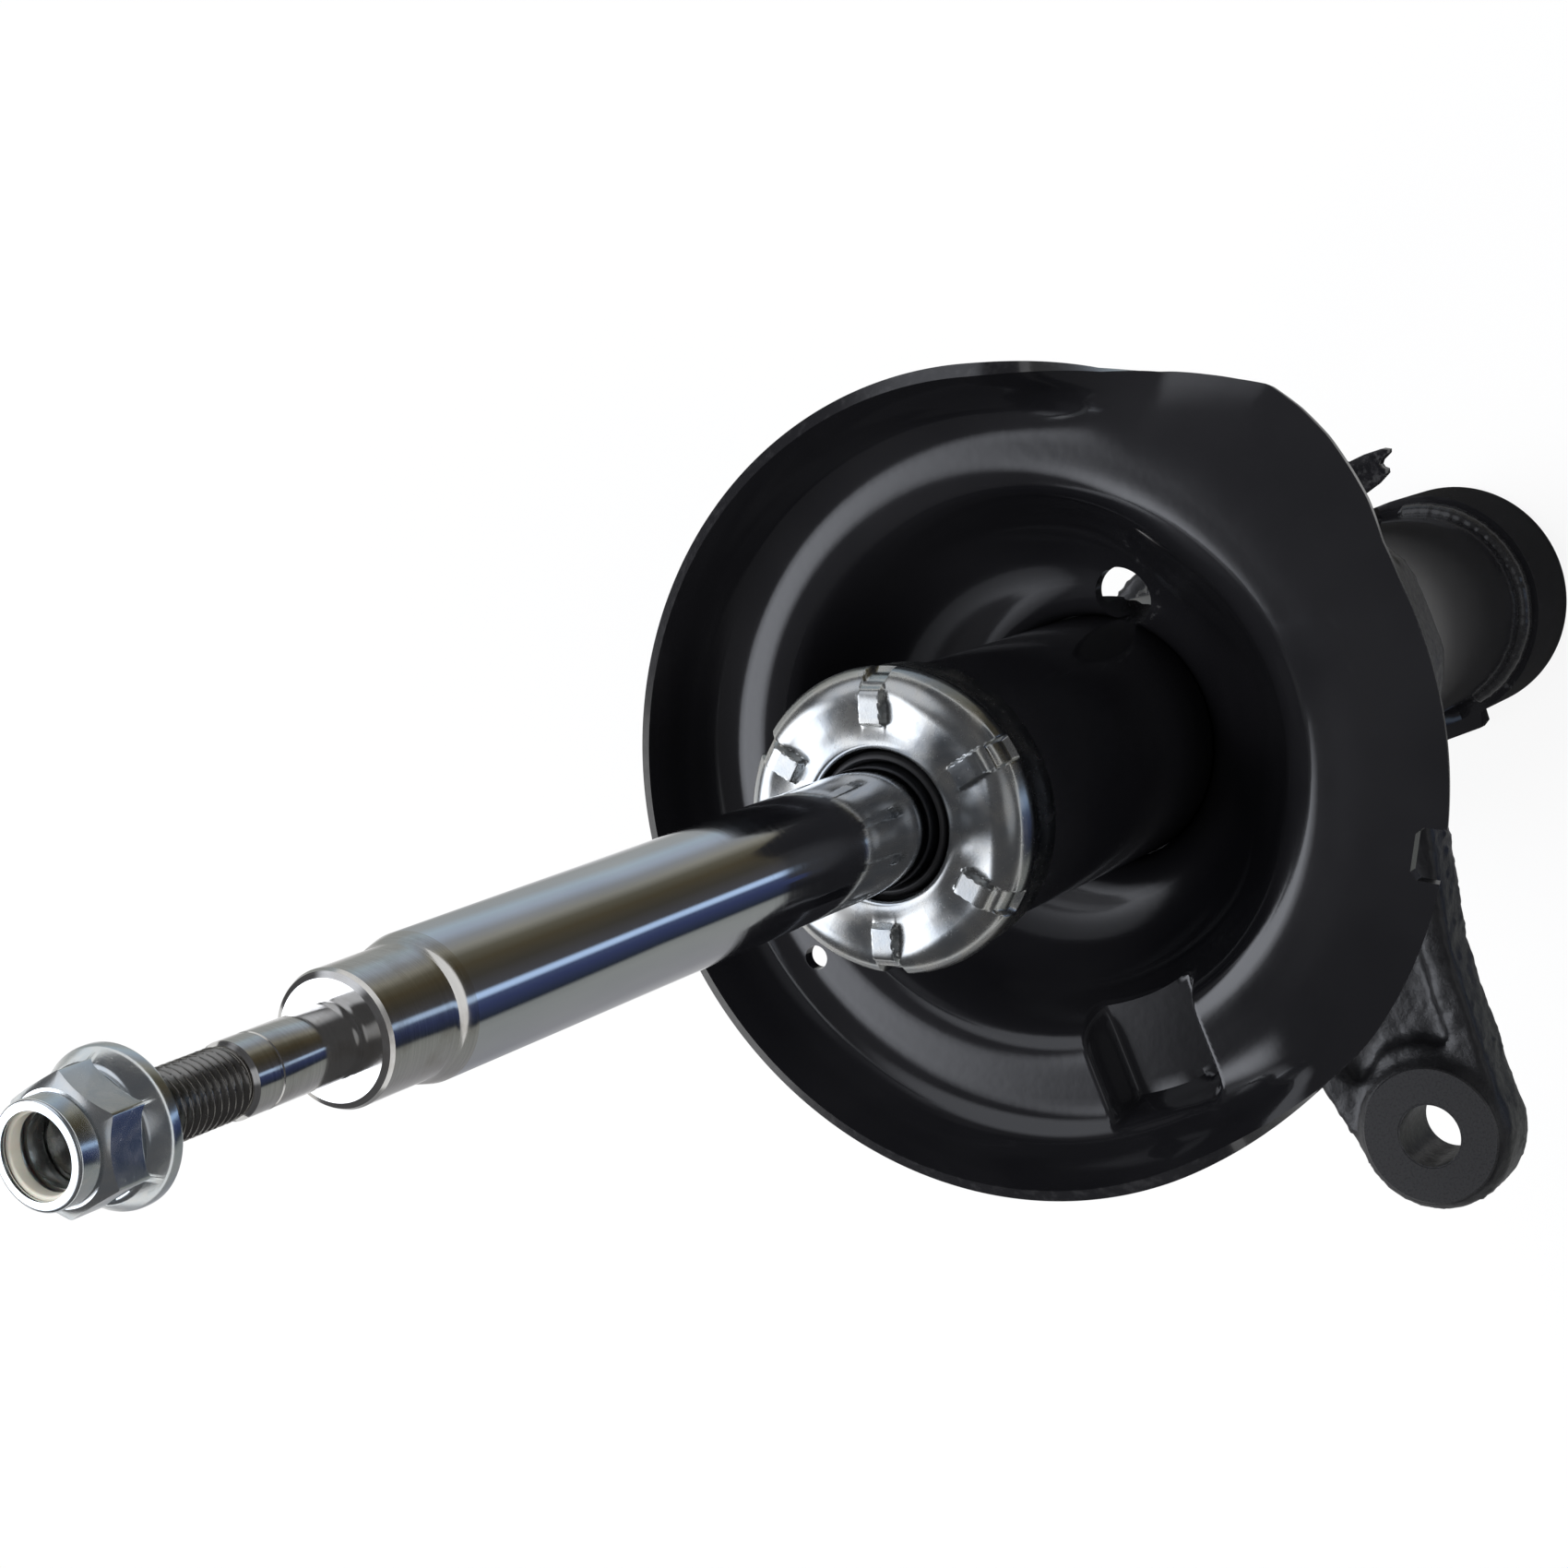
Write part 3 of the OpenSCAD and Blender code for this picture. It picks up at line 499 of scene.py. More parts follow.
def lathe(name, profile, steps=180, closed=True):
    """Turns (radius, height) points round the strut's axis. Points at radius 0 become poles."""
    verts, rows = [], []
    for r, z in profile:
        if r < 1e-6:
            verts.append((0, 0, z))
            rows.append([len(verts) - 1] * steps)
        else:
            rows.append(list(range(len(verts), len(verts) + steps)))
            verts += [(x, y, z) for x, y in circle(0, 0, r, steps)]
    faces = []
    for a, b in zip(rows, rows[1:] + ([rows[0]] if closed else [])):
        for k in range(steps):
            n = (k + 1) % steps
            ring = [a[k], a[n], b[n], b[k]]
            ring = [v for i, v in enumerate(ring) if v not in ring[:i]]
            if len(ring) > 2:
                faces.append(ring)
    return mesh_object(name, verts, faces)


def rounded(profile, radius, steps=4):
    """Rounds each corner of a closed (radius, height) outline, but none on the axis."""
    out, n = [], len(profile)
    for i, p in enumerate(profile):
        p = np.array(p, float)
        a, b = np.array(profile[i - 1], float) - p, np.array(profile[(i + 1) % n], float) - p
        la, lb = np.linalg.norm(a), np.linalg.norm(b)
        if p[0] < 1e-6 or la < 1e-6 or lb < 1e-6:
            out.append(tuple(p))
            continue
        cut = min(radius, 0.45 * la, 0.45 * lb)
        q0, q1 = p + a / la * cut, p + b / lb * cut
        for t in np.arange(steps + 1) / steps:
            out.append(tuple((1 - t) ** 2 * q0 + 2 * t * (1 - t) * p + t * t * q1))
    return out


def extruded(name, outline, z_low, z_high, holes=()):
    """Solid between two heights from a closed outline, with holes cut through."""
    b = bmesh.new()
    edges = []
    for loop in [outline, *holes]:
        vs = [b.verts.new((x * MM, y * MM, z_low * MM)) for x, y in loop]
        edges += [b.edges.new((vs[i], vs[(i + 1) % len(vs)])) for i in range(len(vs))]
    bmesh.ops.triangle_fill(b, use_beauty=True, use_dissolve=False, edges=edges)
    top = bmesh.ops.extrude_face_region(b, geom=list(b.faces))
    raised = [v for v in top["geom"] if isinstance(v, bmesh.types.BMVert)]
    bmesh.ops.translate(b, verts=raised, vec=(0, 0, (z_high - z_low) * MM))
    return from_bmesh(name, b)


def circle(cx, cy, r, n=48, start=0.0):
    """n points round a circle, from an angle in radians."""
    turns = [start + 2 * math.pi * k / n for k in range(n)]
    return [(cx + r * math.cos(a), cy + r * math.sin(a)) for a in turns]


def combined(piece, how, *others):
    """Joins the others to the piece, cuts them out or keeps what they share, and removes them."""
    for other in others:
        piece = modified(piece, ("BOOLEAN", {"object": other, "operation": how, "solver": "EXACT"}))
        bpy.data.objects.remove(other)
    return piece


def turned(profile, steps):
    """Closed solid of turn, to combine with a piece."""
    return tidy(lathe("part", profile, steps, closed=False))


def disc(x, y, r, z_low, z_high, steps=96):
    """Upright cylinder, to combine with a piece."""
    solid = turned([(0, z_low), (r, z_low), (r, z_high), (0, z_high)], steps)
    solid.data.transform(Matrix.Translation((x * MM, y * MM, 0)))
    return solid


def painted(piece, *materials):
    piece.data.materials.clear()
    for material in materials:
        piece.data.materials.append(material)
    return piece


def rides_with(piece, node):
    """Gives the piece its node's body."""
    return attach(piece, BODY_OF[node])


def place(piece, node):
    """Finishes a piece, if it has no finish yet, and shows it in place of its CAD node."""
    if not len(piece.data.materials):
        painted(piece, FINISHES[SLOT_OF[node]])
    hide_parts(node)
    return rides_with(piece, node)


# ---------------------------------------------------------------- geometry node trees
class Flow(Nodes):
    """One Geometry Nodes tree with named inputs, and short calls to build it."""

    def __init__(self, name, sizes):
        super().__init__(bpy.data.node_groups.new(name, "GeometryNodeTree"))
        face = self.tree.interface
        face.new_socket(name="Geometry", in_out="OUTPUT", socket_type="NodeSocketGeometry")
        for label, value in sizes.items():
            kind = "NodeSocketInt" if isinstance(value, int) else "NodeSocketFloat"
            face.new_socket(name=label, in_out="INPUT", socket_type=kind).default_value = value
        face.new_socket(name="Finish", in_out="INPUT", socket_type="NodeSocketMaterial")
        self.given = self.add("NodeGroupInput").outputs

    def times(self, a, b):
        return self.math("MULTIPLY", a, b)

    def over(self, a, b):
        return self.math("DIVIDE", a, b)

    def plus(self, a, b):
        return self.math("ADD", a, b)

    def minus(self, a, b):
        return self.math("SUBTRACT", a, b)

    def clamped(self, a):
        """A value held between 0 and 1."""
        return self.math("MINIMUM", self.math("MAXIMUM", a, 0.0), 1.0)

    def spun(self, radius, turn, height):
        """The point at a radius, an angle and a height round the axis."""
        node = self.add("ShaderNodeCombineXYZ")
        across = (self.times(radius, self.math(kind, turn)) for kind in ("COSINE", "SINE"))
        for socket, value in zip(node.inputs, (*across, height)):
            self.put(socket, value)
        return node.outputs[0]

    def rod(self):
        """A unit cylinder and its points' x, y and place along it from 0 to 1."""
        solid = self.add("GeometryNodeMeshCylinder", fill_type="NGON")
        for name, value in (("Vertices", self.given["Around"]), ("Side Segments", self.given["Along"]),
                            ("Radius", 1.0), ("Depth", 1.0)):
            self.put(solid.inputs[name], value)
        split = self.add("ShaderNodeSeparateXYZ")
        self.put(split.inputs[0], self.add("GeometryNodeInputPosition").outputs[0])
        return solid.outputs["Mesh"], split.outputs[0], split.outputs[1], self.plus(split.outputs[2], 0.5)

    def noise(self, at, scale, seed):
        node = self.add("ShaderNodeTexNoise", noise_dimensions="4D")
        for name, value in (("Vector", at), ("W", seed), ("Scale", scale), ("Detail", 2.0)):
            self.put(node.inputs[name], value)
        return node.outputs[0]

    def finish(self, mesh, position):
        """Moves the cylinder's points, merges its doubles and gives it the finish."""
        moved = self.add("GeometryNodeSetPosition")
        self.put(moved.inputs["Geometry"], mesh)
        self.put(moved.inputs["Position"], position)
        merged = self.add("GeometryNodeMergeByDistance")
        self.put(merged.inputs["Geometry"], moved.outputs[0])
        self.put(merged.inputs["Distance"], 0.002 * MM)
        whole = self.add("GeometryNodeRealizeInstances")
        self.put(whole.inputs[0], merged.outputs[0])
        dressed = self.add("GeometryNodeSetMaterial")
        self.put(dressed.inputs["Geometry"], whole.outputs[0])
        self.put(dressed.inputs["Material"], self.given["Finish"])
        self.put(self.add("NodeGroupOutput").inputs[0], dressed.outputs[0])
        return self.tree


def bead_tree():
    """A weld bead laid round the axis: a swelling section that follows an arc. Sizes are in metres."""
    f = Flow("bead", {
        "Wall Radius": 0.0225, "Edge Height": 0.0, "Way": 1.0, "Reach": 0.002, "Inner Share": 0.0,
        "Rise": 0.003, "From": 0.0, "Sweep": 360.0, "Ripple Length": 0.0026, "Ripple": 0.10,
        "Taper": 0.0, "Around": 20, "Along": 480, "Seed": 3})
    g = f.given
    mesh, x, y, u = f.rod()
    turn = f.math("RADIANS", f.plus(g["From"], f.times(g["Sweep"], u)))
    travel = f.times(f.times(turn, g["Wall Radius"]), 2 * math.pi)
    waves = f.math("COSINE", f.over(travel, g["Ripple Length"]))
    spot = f.spun(1.0, turn, f.times(g["Edge Height"], 20.0))
    uneven = f.times(f.minus(f.noise(spot, 5.0, g["Seed"]), 0.5), 0.30)
    swell = f.plus(f.plus(0.86, f.times(waves, f.times(g["Ripple"], 0.5))), uneven)
    ends = f.clamped(f.plus(f.times(f.math("MINIMUM", u, f.minus(1.0, u)), 24.0), 0.35))
    size = f.clamped(f.times(swell, f.plus(f.times(g["Taper"], f.minus(ends, 1.0)), 1.0)))
    inner = f.times(g["Inner Share"], -1.0)
    out = f.times(f.times(f.math("MAXIMUM", x, inner), g["Reach"]), size)
    up = f.times(f.times(f.times(f.math("MAXIMUM", y, 0.0), g["Rise"]), g["Way"]), size)
    return f.finish(mesh, f.spun(f.plus(g["Wall Radius"], out), turn, f.plus(g["Edge Height"], up)))


def thread_tree():
    """A screw thread: a cylinder whose radius follows the helix. Sizes are in metres."""
    f = Flow("thread", {
        "Major Radius": 0.0048, "Minor Radius": 0.0041, "Pitch": 0.00125, "Foot": 0.02, "Top": 0.046,
        "End Chamfer": 0.0009, "Around": 72, "Along": 208})
    g = f.given
    mesh, x, y, u = f.rod()
    z = f.plus(g["Foot"], f.times(u, f.minus(g["Top"], g["Foot"])))
    climb = f.minus(z, g["Foot"])
    turn = f.math("ARCTAN2", y, x)
    phase = f.math("FRACT", f.minus(f.over(climb, g["Pitch"]), f.over(turn, 2 * math.pi)))
    tooth = f.minus(1.0, f.math("ABSOLUTE", f.minus(f.times(phase, 2.0), 1.0)))
    tooth = f.clamped(f.over(f.minus(tooth, 0.10), 0.76))
    run_in = f.clamped(f.plus(f.over(climb, 0.0016), 0.25))
    run_out = f.clamped(f.plus(f.over(f.minus(g["Top"], z), 0.0012), 0.05))
    height = f.times(f.minus(g["Major Radius"], g["Minor Radius"]), tooth)
    crest = f.plus(g["Minor Radius"], f.times(height, f.times(run_in, run_out)))
    tip = f.plus(f.minus(g["Major Radius"], g["End Chamfer"]), f.minus(g["Top"], z))
    share = f.math("SQRT", f.plus(f.times(x, x), f.times(y, y)))
    return f.finish(mesh, f.spun(f.times(f.math("MINIMUM", crest, tip), share), turn, z))


def grown(name, tree, finish, angle, **sizes):
    """Runs a tree with its inputs set, and keeps the result as one plain mesh."""
    piece = added(name, bpy.data.meshes.new(name))
    maker = piece.modifiers.new("shape", "NODES")
    maker.node_group = tree
    inputs = [item for item in tree.interface.items_tree if item.in_out == "INPUT"]
    socket = {item.name.replace(" ", "_"): item.identifier for item in inputs}
    for label, value in {"Finish": finish, **sizes}.items():
        maker[socket[label]] = value
    return tidy(baked(piece), 0.001, angle)


# ---------------------------------------------------------------- rod
def rod_body():
    """Chromed rod with its ground shoulder, relieved shank and the spigot for the piston."""
    z0, relieved = -SHOULDER_LEN, SHANK_R - 0.22
    profile = [
        (0, ROD_FOOT), (SPIGOT_R - 1, ROD_FOOT), (SPIGOT_R, ROD_FOOT + 1), (SPIGOT_R, -237.0),
        (ROD_R - 0.8, -237.0), (ROD_R, -236.2), *[(ROD_R, z) for z in (-200, -150, -100, -60)],
        (ROD_R, z0 - 3.2), (ROD_R - 0.15, z0 - 2.6), (SHOULDER_R + 0.45, z0 - 0.9),
        (SHOULDER_R + 0.1, z0 - 0.3), (SHOULDER_R, z0 + 0.4), (SHOULDER_R, 0.42 * z0), (SHOULDER_R, -1.1),
        (SHOULDER_R - 0.3, -0.45), (SHOULDER_R - 1.1, 0.0), (SHANK_R + 0.5, 0.0), (SHANK_R, 0.0),
        (relieved, 0.5), (relieved, 1.4), (SHANK_R, 1.9), (SHANK_R, SHANK_LEN - 5.2),
        (SHANK_R - 0.1, SHANK_LEN - 5.0), (SHANK_R - 0.1, SHANK_LEN - 4.7), (SHANK_R, SHANK_LEN - 4.5),
        (SHANK_R, SHANK_LEN - 0.6), (SHANK_R - 0.5, SHANK_LEN), (0, SHANK_LEN),
    ]
    piece = tidy(lathe("rod_body", profile, 256, closed=False), angle=24)
    painted(piece, FINISHES["chrome_rod"], GROUND)
    chrome_top = z0 - 2.9
    for face in piece.data.polygons:
        face.material_index = int(face.center.z / MM > chrome_top)
    return place(piece, "piston_rod")


def rod_thread():
    """Rolled thread of the stud."""
    piece = grown("rod_thread", thread_tree(), THREADED, 50, Major_Radius=THREAD_R * MM,
                  Minor_Radius=(THREAD_R - THREAD_DEPTH) * MM, Foot=(SHANK_LEN - 0.2) * MM, Top=STUD_TOP * MM)
    return rides_with(piece, "piston_rod")


# ---------------------------------------------------------------- nut
HEX_TURN = math.radians(8)
HEX_ACROSS, HEX_TOP_GAP = 15.0, 3.2
NUT_COLLAR_R = 6.5
RING_R, RING_H, RING_GAP = 5.5, 1.9, 0.85


def flange_nut():
    """Flange nut: a hexagon with a chamfered top on a dished flange, and a collar that holds the ring."""
    seat, top, flange_r = low("rod_nut")[2], high("rod_nut")[2], high("rod_nut")[0]
    hex_top, hex_r = top - HEX_TOP_GAP, HEX_ACROSS / 2 / math.cos(math.pi / 6)
    flange = rounded([(0, seat), (flange_r, seat), (flange_r, seat + 1.7), (8.1, seat + 4.3),
                      (0, seat + 4.3)], 0.5)
    nut = tidy(lathe("flange_nut", flange, 240, closed=False), angle=26)
    hexagon = extruded("part", circle(0, 0, hex_r, 6, HEX_TURN), seat + 1.0, hex_top)
    crown = [(0, seat - 1), (hex_r + 1, seat - 1), (hex_r + 1, hex_top - 2.3), (hex_r - 0.1, hex_top - 1.3),
             (NUT_COLLAR_R + 0.4, hex_top), (0, hex_top)]
    hexagon = combined(bevelled(tidy(hexagon), 0.25, 3, 50), "INTERSECT", turned(crown, 240))
    collar = rounded([(0, seat + 3), (NUT_COLLAR_R, seat + 3), (NUT_COLLAR_R, top - 0.1),
                      (NUT_COLLAR_R - 1.0, top), (0, top)], 0.9, 8)
    nut = combined(nut, "UNION", tidy(hexagon), turned(collar, 240))
    bore, pocket = THREAD_R + 0.05, RING_R + 0.1
    inside = [(0, seat - 2), (bore + 0.6, seat - 2), (bore + 0.6, seat), (bore, seat + 0.6),
              (bore, top - 3.6), (pocket, top - 3.6), (pocket, top - 0.9), (pocket - 0.4, top - 0.6), (pocket - 0.4, top + 2),
              (0, top + 2)]
    nut = combined(nut, "DIFFERENCE", turned(inside, 240))
    nut = bevelled(tidy(nut, 0.002, 26), 0.10, 2, 38)
    return place(tidy(nut, 0.001, 32), "rod_nut")


def nylon_ring():
    """Locking ring, open enough to pass over the thread."""
    top, bore = high("rod_nut")[2] - RING_GAP, THREAD_R + 0.12
    foot = top - RING_H
    outline = rounded([(bore, foot), (RING_R, foot), (RING_R, top), (bore, top)], 0.4)
    return place(tidy(lathe("nylon_ring", outline, 120), angle=60), "nut_locking_ring")


# ---------------------------------------------------------------- cap and seal
PADS, PAD_TURN, PAD_W, PAD_LEN, PAD_MID = 6, math.radians(9), 4.3, 6.4, 19.4
CAP_HOLE_R, CROWN_R = 12.35, 5.0
HIGHEST_PAD = 1.18


def pad_local(a, r):
    """Distance across and along the nearest pad's own line, in millimetres."""
    step = 2 * math.pi / PADS
    d = (a - PAD_TURN + step / 2) % step - step / 2
    return r * math.sin(d), r * math.cos(d)


def cap_outline():
    """Upper side and inside of the cap as (radius, height) points, with its top face at height 0."""
    h, mid_r = CAP_HOLE_R, CAP_R + 0.75 - CROWN_R
    face = [(h, -1.5), (h, -0.75), (h + 0.15, -0.35), (h + 0.5, -0.08), (h + 0.9, 0.0), (h + 1.6, 0.0),
            *[(h + 2.4 + 0.28 * k, 0.0) for k in range(30)]]
    upper = [p for p in face if p[0] < mid_r]
    upper += [(mid_r + CROWN_R * math.sin(t), CROWN_R * math.cos(t) - CROWN_R)
              for t in np.linspace(0, math.pi / 2, 22)]
    turn, foot = upper[-1][1], CAP_FOOT - CAP_TOP
    upper += [(CAP_R + 0.72, turn - 0.8), (CAP_R + 0.45, turn - 1.8), (CAP_R + 0.12, turn - 3.0),
              (CAP_R, turn - 4.2), (CAP_R, turn - 6.5), (CAP_R, foot + 0.5), (CAP_R - 0.2, foot + 0.12),
              (CAP_R - 0.5, foot)]
    inner = [(TUBE_R + 0.1, foot), (TUBE_R + 0.05, foot + 0.4), (TUBE_R + 0.05, -4.6), (20.0, -1.85),
             (h + 0.4, -1.8)]
    return upper, inner


def cap_relief(a, r, z):
    """Moves a point of the upper side for the pads, their notches in the crown and the low ridges."""
    across, along = pad_local(a, r)
    start, end = PAD_MID - PAD_LEN / 2, PAD_MID + PAD_LEN / 2
    side = 1 - smooth(abs(across), PAD_W / 2 - 0.35, PAD_W / 2 + 0.15)
    pad = side * smooth(along, start - 0.3, start + 0.5) * (1 - smooth(along, end - 0.9, end + 0.2))
    notch = side * smooth(-z, 0.9, 1.9) * (1 - smooth(-z, 6.0, 6.9))
    hammered = mnoise.noise(Vector((a * 6, z * 0.3, 3.0))) * smooth(-z, 3.0, 6.0)
    height = z
    if z > -2.6:
        dish = math.exp(-((across / 4.6) ** 2) - ((along - PAD_MID + 1.2) / 3.8) ** 2)
        height += 0.98 * pad - 0.75 * dish * (1 - pad) * smooth(r, CAP_HOLE_R + 0.6, CAP_HOLE_R + 3.0)
        ridge = 0.16 * math.cos(PADS * (a - PAD_TURN) + math.pi)
        height += ridge * smooth(r, CAP_HOLE_R + 2.0, CAP_HOLE_R + 5.0) * (1 - side)
    return r - 1.15 * notch + 0.06 * hammered, height


def pressed_cap():
    """Cap rolled over the tube's end, with six pads pressed up round its hole."""
    steps = 720
    upper, inner = cap_outline()
    rows = []
    for i, (r, z) in enumerate(upper + inner):
        row = []
        for a in [2 * math.pi * k / steps for k in range(steps)]:
            rr, zz = cap_relief(a, r, z) if 0 < i < len(upper) else (r, z)
            row.append((rr * math.cos(a), rr * math.sin(a), CAP_TOP + min(zz, HIGHEST_PAD)))
        rows.append(row)
    piece = mesh_object("pressed_cap", *net(rows, around=True, along=True))
    return place(tidy(piece, angle=40), "tube_cap")


def rod_seal():
    """Rubber seal with a lip that wipes the rod."""
    foot, lip, wipe_r = low("oil_seal")[2], high("oil_seal")[2], ROD_R + 0.04
    profile = rounded([(wipe_r, foot), (19.9, foot), (19.9, foot + 7), (ROD_R + 1.9, foot + 7.0),
                       (ROD_R + 1.75, lip - 1.1), (ROD_R + 1.35, lip - 0.25), (ROD_R + 0.75, lip),
                       (ROD_R + 0.3, lip - 0.8), (wipe_r, lip - 1.6)], 0.3)
    return place(tidy(lathe("rod_seal", profile, 160), angle=50), "oil_seal")


# ---------------------------------------------------------------- spring seat
SEAT_T = 2.6
RIM_CENTRE_Y = 2.0
FLOOR_R, RIM_R, LIP_H = 63.0, 70.2, 13.0
NOTCH_H = 5.0
LIP_FROM, LIP_TO = -126.0, 100.0
FLANGE_R, FLANGE_DIP = 75.0, -2.2
DRAIN_R, DRAIN_AT, DRAIN_TURN = 5.5, 27.8, math.radians(232)
LOCATE_R, LOCATE_AT = 2.25, (54.7, 18.2)
NOTCH_TURN = math.radians(149)
CHANNEL_X, CHANNEL_HALF, CHANNEL_DEPTH = -1.4, 10.0, 8.0
CHANNEL_IN, CHANNEL_OUT = (38.5, 44.0), (61.2, 64.6)
# direction in degrees, width in degrees and height of each stiffening swelling
SWELLINGS = [(208, 17, 4.2), (151, 15, 3.4)]
# direction in degrees and distance from the axis, along the edge of the open side
FLANGE_EDGE = [
    (104, FLANGE_R), (118, FLANGE_R), (135, FLANGE_R), (150, FLANGE_R), (170, FLANGE_R), (185, FLANGE_R),
    (190, 75.6), (195, 77.4), (199, 78.25), (204, 79.25), (209, 79.6), (213.5, 79.4), (217, 77.4),
    (221, 75.4), (227, 72.6), (234, 70.8)]


def flange_radius(deg):
    """Distance from the strut's axis to the open side's edge."""
    return float(np.interp(deg % 360, *zip(*FLANGE_EDGE)))


def lip_radius(deg, r):
    """Distance from the strut's axis to a circle of radius r round the rim's centre."""
    a = math.radians(deg)
    across = RIM_CENTRE_Y * math.cos(a)
    return RIM_CENTRE_Y * math.sin(a) + math.sqrt(max(r * r - across ** 2, 0))


def lip_share(deg):
    """1 where the lip stands at its full height, 0 on the flat flange."""
    d = (deg + 180) % 360 - 180
    front = float(smooth(d, LIP_FROM - 9, LIP_FROM + 17))
    back = 1 - float(smooth(d, LIP_TO - 8, LIP_TO + 24))
    return front * back if d < 150 else 0.0


def seat_section(deg):
    """Upper surface of the seat along one direction, as (radius, height) points from the neck out."""
    throat = [(0.0, -37.0), (0.0, -31.5), (0.15, -29.2), (0.9, -27.5), (2.3, -26.3), (4.5, -25.4),
              (8.0, -24.4), (11.0, -23.0), (14.0, -20.8)]
    wall = [(39.6, -17.6), (41.8, -14.4), (43.4, -11.0), (44.8, -7.6), (46.2, -4.6), (47.8, -2.1),
            (49.6, -0.7), (51.6, -0.12), (53.6, 0.0)]
    lip = [(FLOOR_R - 4.0, 0.0), (FLOOR_R - 2.2, 0.25), (FLOOR_R - 0.4, 1.1), (FLOOR_R + 1.0, 2.3),
           (FLOOR_R + 2.3, 4.2), (FLOOR_R + 3.7, 6.4), (RIM_R - 1.9, 9.6), (RIM_R - 0.9, 11.4),
           (RIM_R, LIP_H)]
    lip = [(lip_radius(deg, r), z) for r, z in lip]
    floor_from, floor_to, share = wall[-1][0], lip[0][0], lip_share(deg)
    reach = flange_radius(deg) - floor_to
    shares = (0, 0.13, 0.27, 0.4, 0.53, 0.67, 0.8, 0.9, 1.0)
    flat = [(floor_to + reach * t, FLANGE_DIP * t * t) for t in shares]
    section = [(TUBE_R + 0.15 + r, z) for r, z in throat] + wall
    section += [(floor_from + (floor_to - floor_from) * t, 0.0) for t in (0.33, 0.66)]
    return section + [(share * a[0] + (1 - share) * b[0], share * a[1] + (1 - share) * b[1])
                      for a, b in zip(lip, flat)]


def refine(pts, count):
    """Spreads count points along a smooth line through pts."""
    p = np.array(pts, float)
    d = np.r_[0, np.cumsum(np.linalg.norm(np.diff(p, axis=0), axis=1))]
    u = np.linspace(0, 1, len(p))
    w = np.interp(np.linspace(0, 1, count), d / d[-1] * 0.75 + 0.25 * u, u)
    i = np.clip((w * (len(p) - 1)).astype(int), 0, len(p) - 2)
    t = (w * (len(p) - 1) - i)[:, None]
    p0, p1, p2, p3 = p[np.maximum(i - 1, 0)], p[i], p[i + 1], p[np.minimum(i + 2, len(p) - 1)]
    square, cube = 2 * p0 - 5 * p1 + 4 * p2 - p3, 3 * p1 - p0 - 3 * p2 + p3
    return 0.5 * ((2 * p1) + (p2 - p0) * t + square * t ** 2 + cube * t ** 3)


def seat_relief(x, y, z):
    """Height after the pressed relief: the drain channel and the stiffening swellings."""
    r, a = math.hypot(x, y), math.degrees(math.atan2(y, x)) % 360
    across = 1 - smooth(abs(x - CHANNEL_X), CHANNEL_HALF - 1.6, CHANNEL_HALF + 1.5)
    channel = across * smooth(y, *CHANNEL_IN) * (1 - smooth(y, *CHANNEL_OUT))
    height = (1 - channel) * z + channel * min(z, -CHANNEL_DEPTH - 0.2)
    for direction, width, rise in SWELLINGS:
        off = (a - direction + 180) % 360 - 180
        height += rise * math.exp(-(off / width) ** 2) * math.exp(-((r - 40.5) / 5.2) ** 2)
    return height


def seat_directions():
    """Directions in degrees, closer together at the channel's walls and where the lip runs out."""
    deg = 0.0
    while deg < 360:
        yield deg
        deg += 0.30 if 76 < deg < 106 else 0.45 if 212 < deg < 256 else 0.9


def spring_seat():
    """Pressed seat with its drain hole, locating hole and notch."""
    rows = []
    for deg in seat_directions():
        a = math.radians(deg)
        points = [(r * math.cos(a), r * math.sin(a), z) for r, z in refine(seat_section(deg), 64)]
        rows.append([(x, y, SEAT_Z + seat_relief(x, y, z)) for x, y, z in points])
    piece = mesh_object("spring_seat_pressing", *net(rows, around=True))
    agreed(piece, lambda faces: sum(face.normal.z for face in faces) < 0)
    wall = {"thickness": SEAT_T * MM * 0.96, "offset": -1.0, "use_even_offset": False}
    piece = modified(piece, ("SOLIDIFY", wall))
    x, y = DRAIN_AT * math.cos(DRAIN_TURN), DRAIN_AT * math.sin(DRAIN_TURN)
    drain = disc(x, y, DRAIN_R, SEAT_Z - 40, SEAT_Z - 10, 48)
    locate = disc(*LOCATE_AT, LOCATE_R, SEAT_Z - 6, SEAT_Z + 4, 32)
    deep = FLANGE_R - NOTCH_H
    outline = [(deep + 1.2, -4.5), (88, -5.0), (88, 5.0), (deep + 1.2, 4.5), (deep, 3.2), (deep, -3.2)]
    notch = tidy(extruded("part", outline, SEAT_Z - 8, SEAT_Z + 5))
    notch.data.transform(Matrix.Rotation(NOTCH_TURN, 4, "Z"))
    piece = combined(piece, "DIFFERENCE", drain, locate, notch)
    return place(tidy(piece, 0.002, 42), "spring_seat")


# ---------------------------------------------------------------- tube and lower end
def outer_tube():
    """Outer tube, with its end rolled in over the guide."""
    wall, top, foot = TUBE_R, TUBE_TOP, TUBE_FOOT
    profile = [
        (wall - 2.5, foot), (wall - 0.3, foot), (wall, foot + 0.3),
        *[(wall, foot + 20 + 24 * k) for k in range(10)],
        (wall, top - 4), (wall - 0.3, top - 2.5), (wall - 1.2, top - 1.15), (wall - 2.5, top - 0.3),
        (wall - 4, top), (wall - 5, top), (wall - 5, top - 2.5), (wall - 2.5, top - 2.5)]
    return place(tidy(lathe("outer_tube", profile, 200), angle=45), "reservoir_tube")


BEAD = bead_tree()


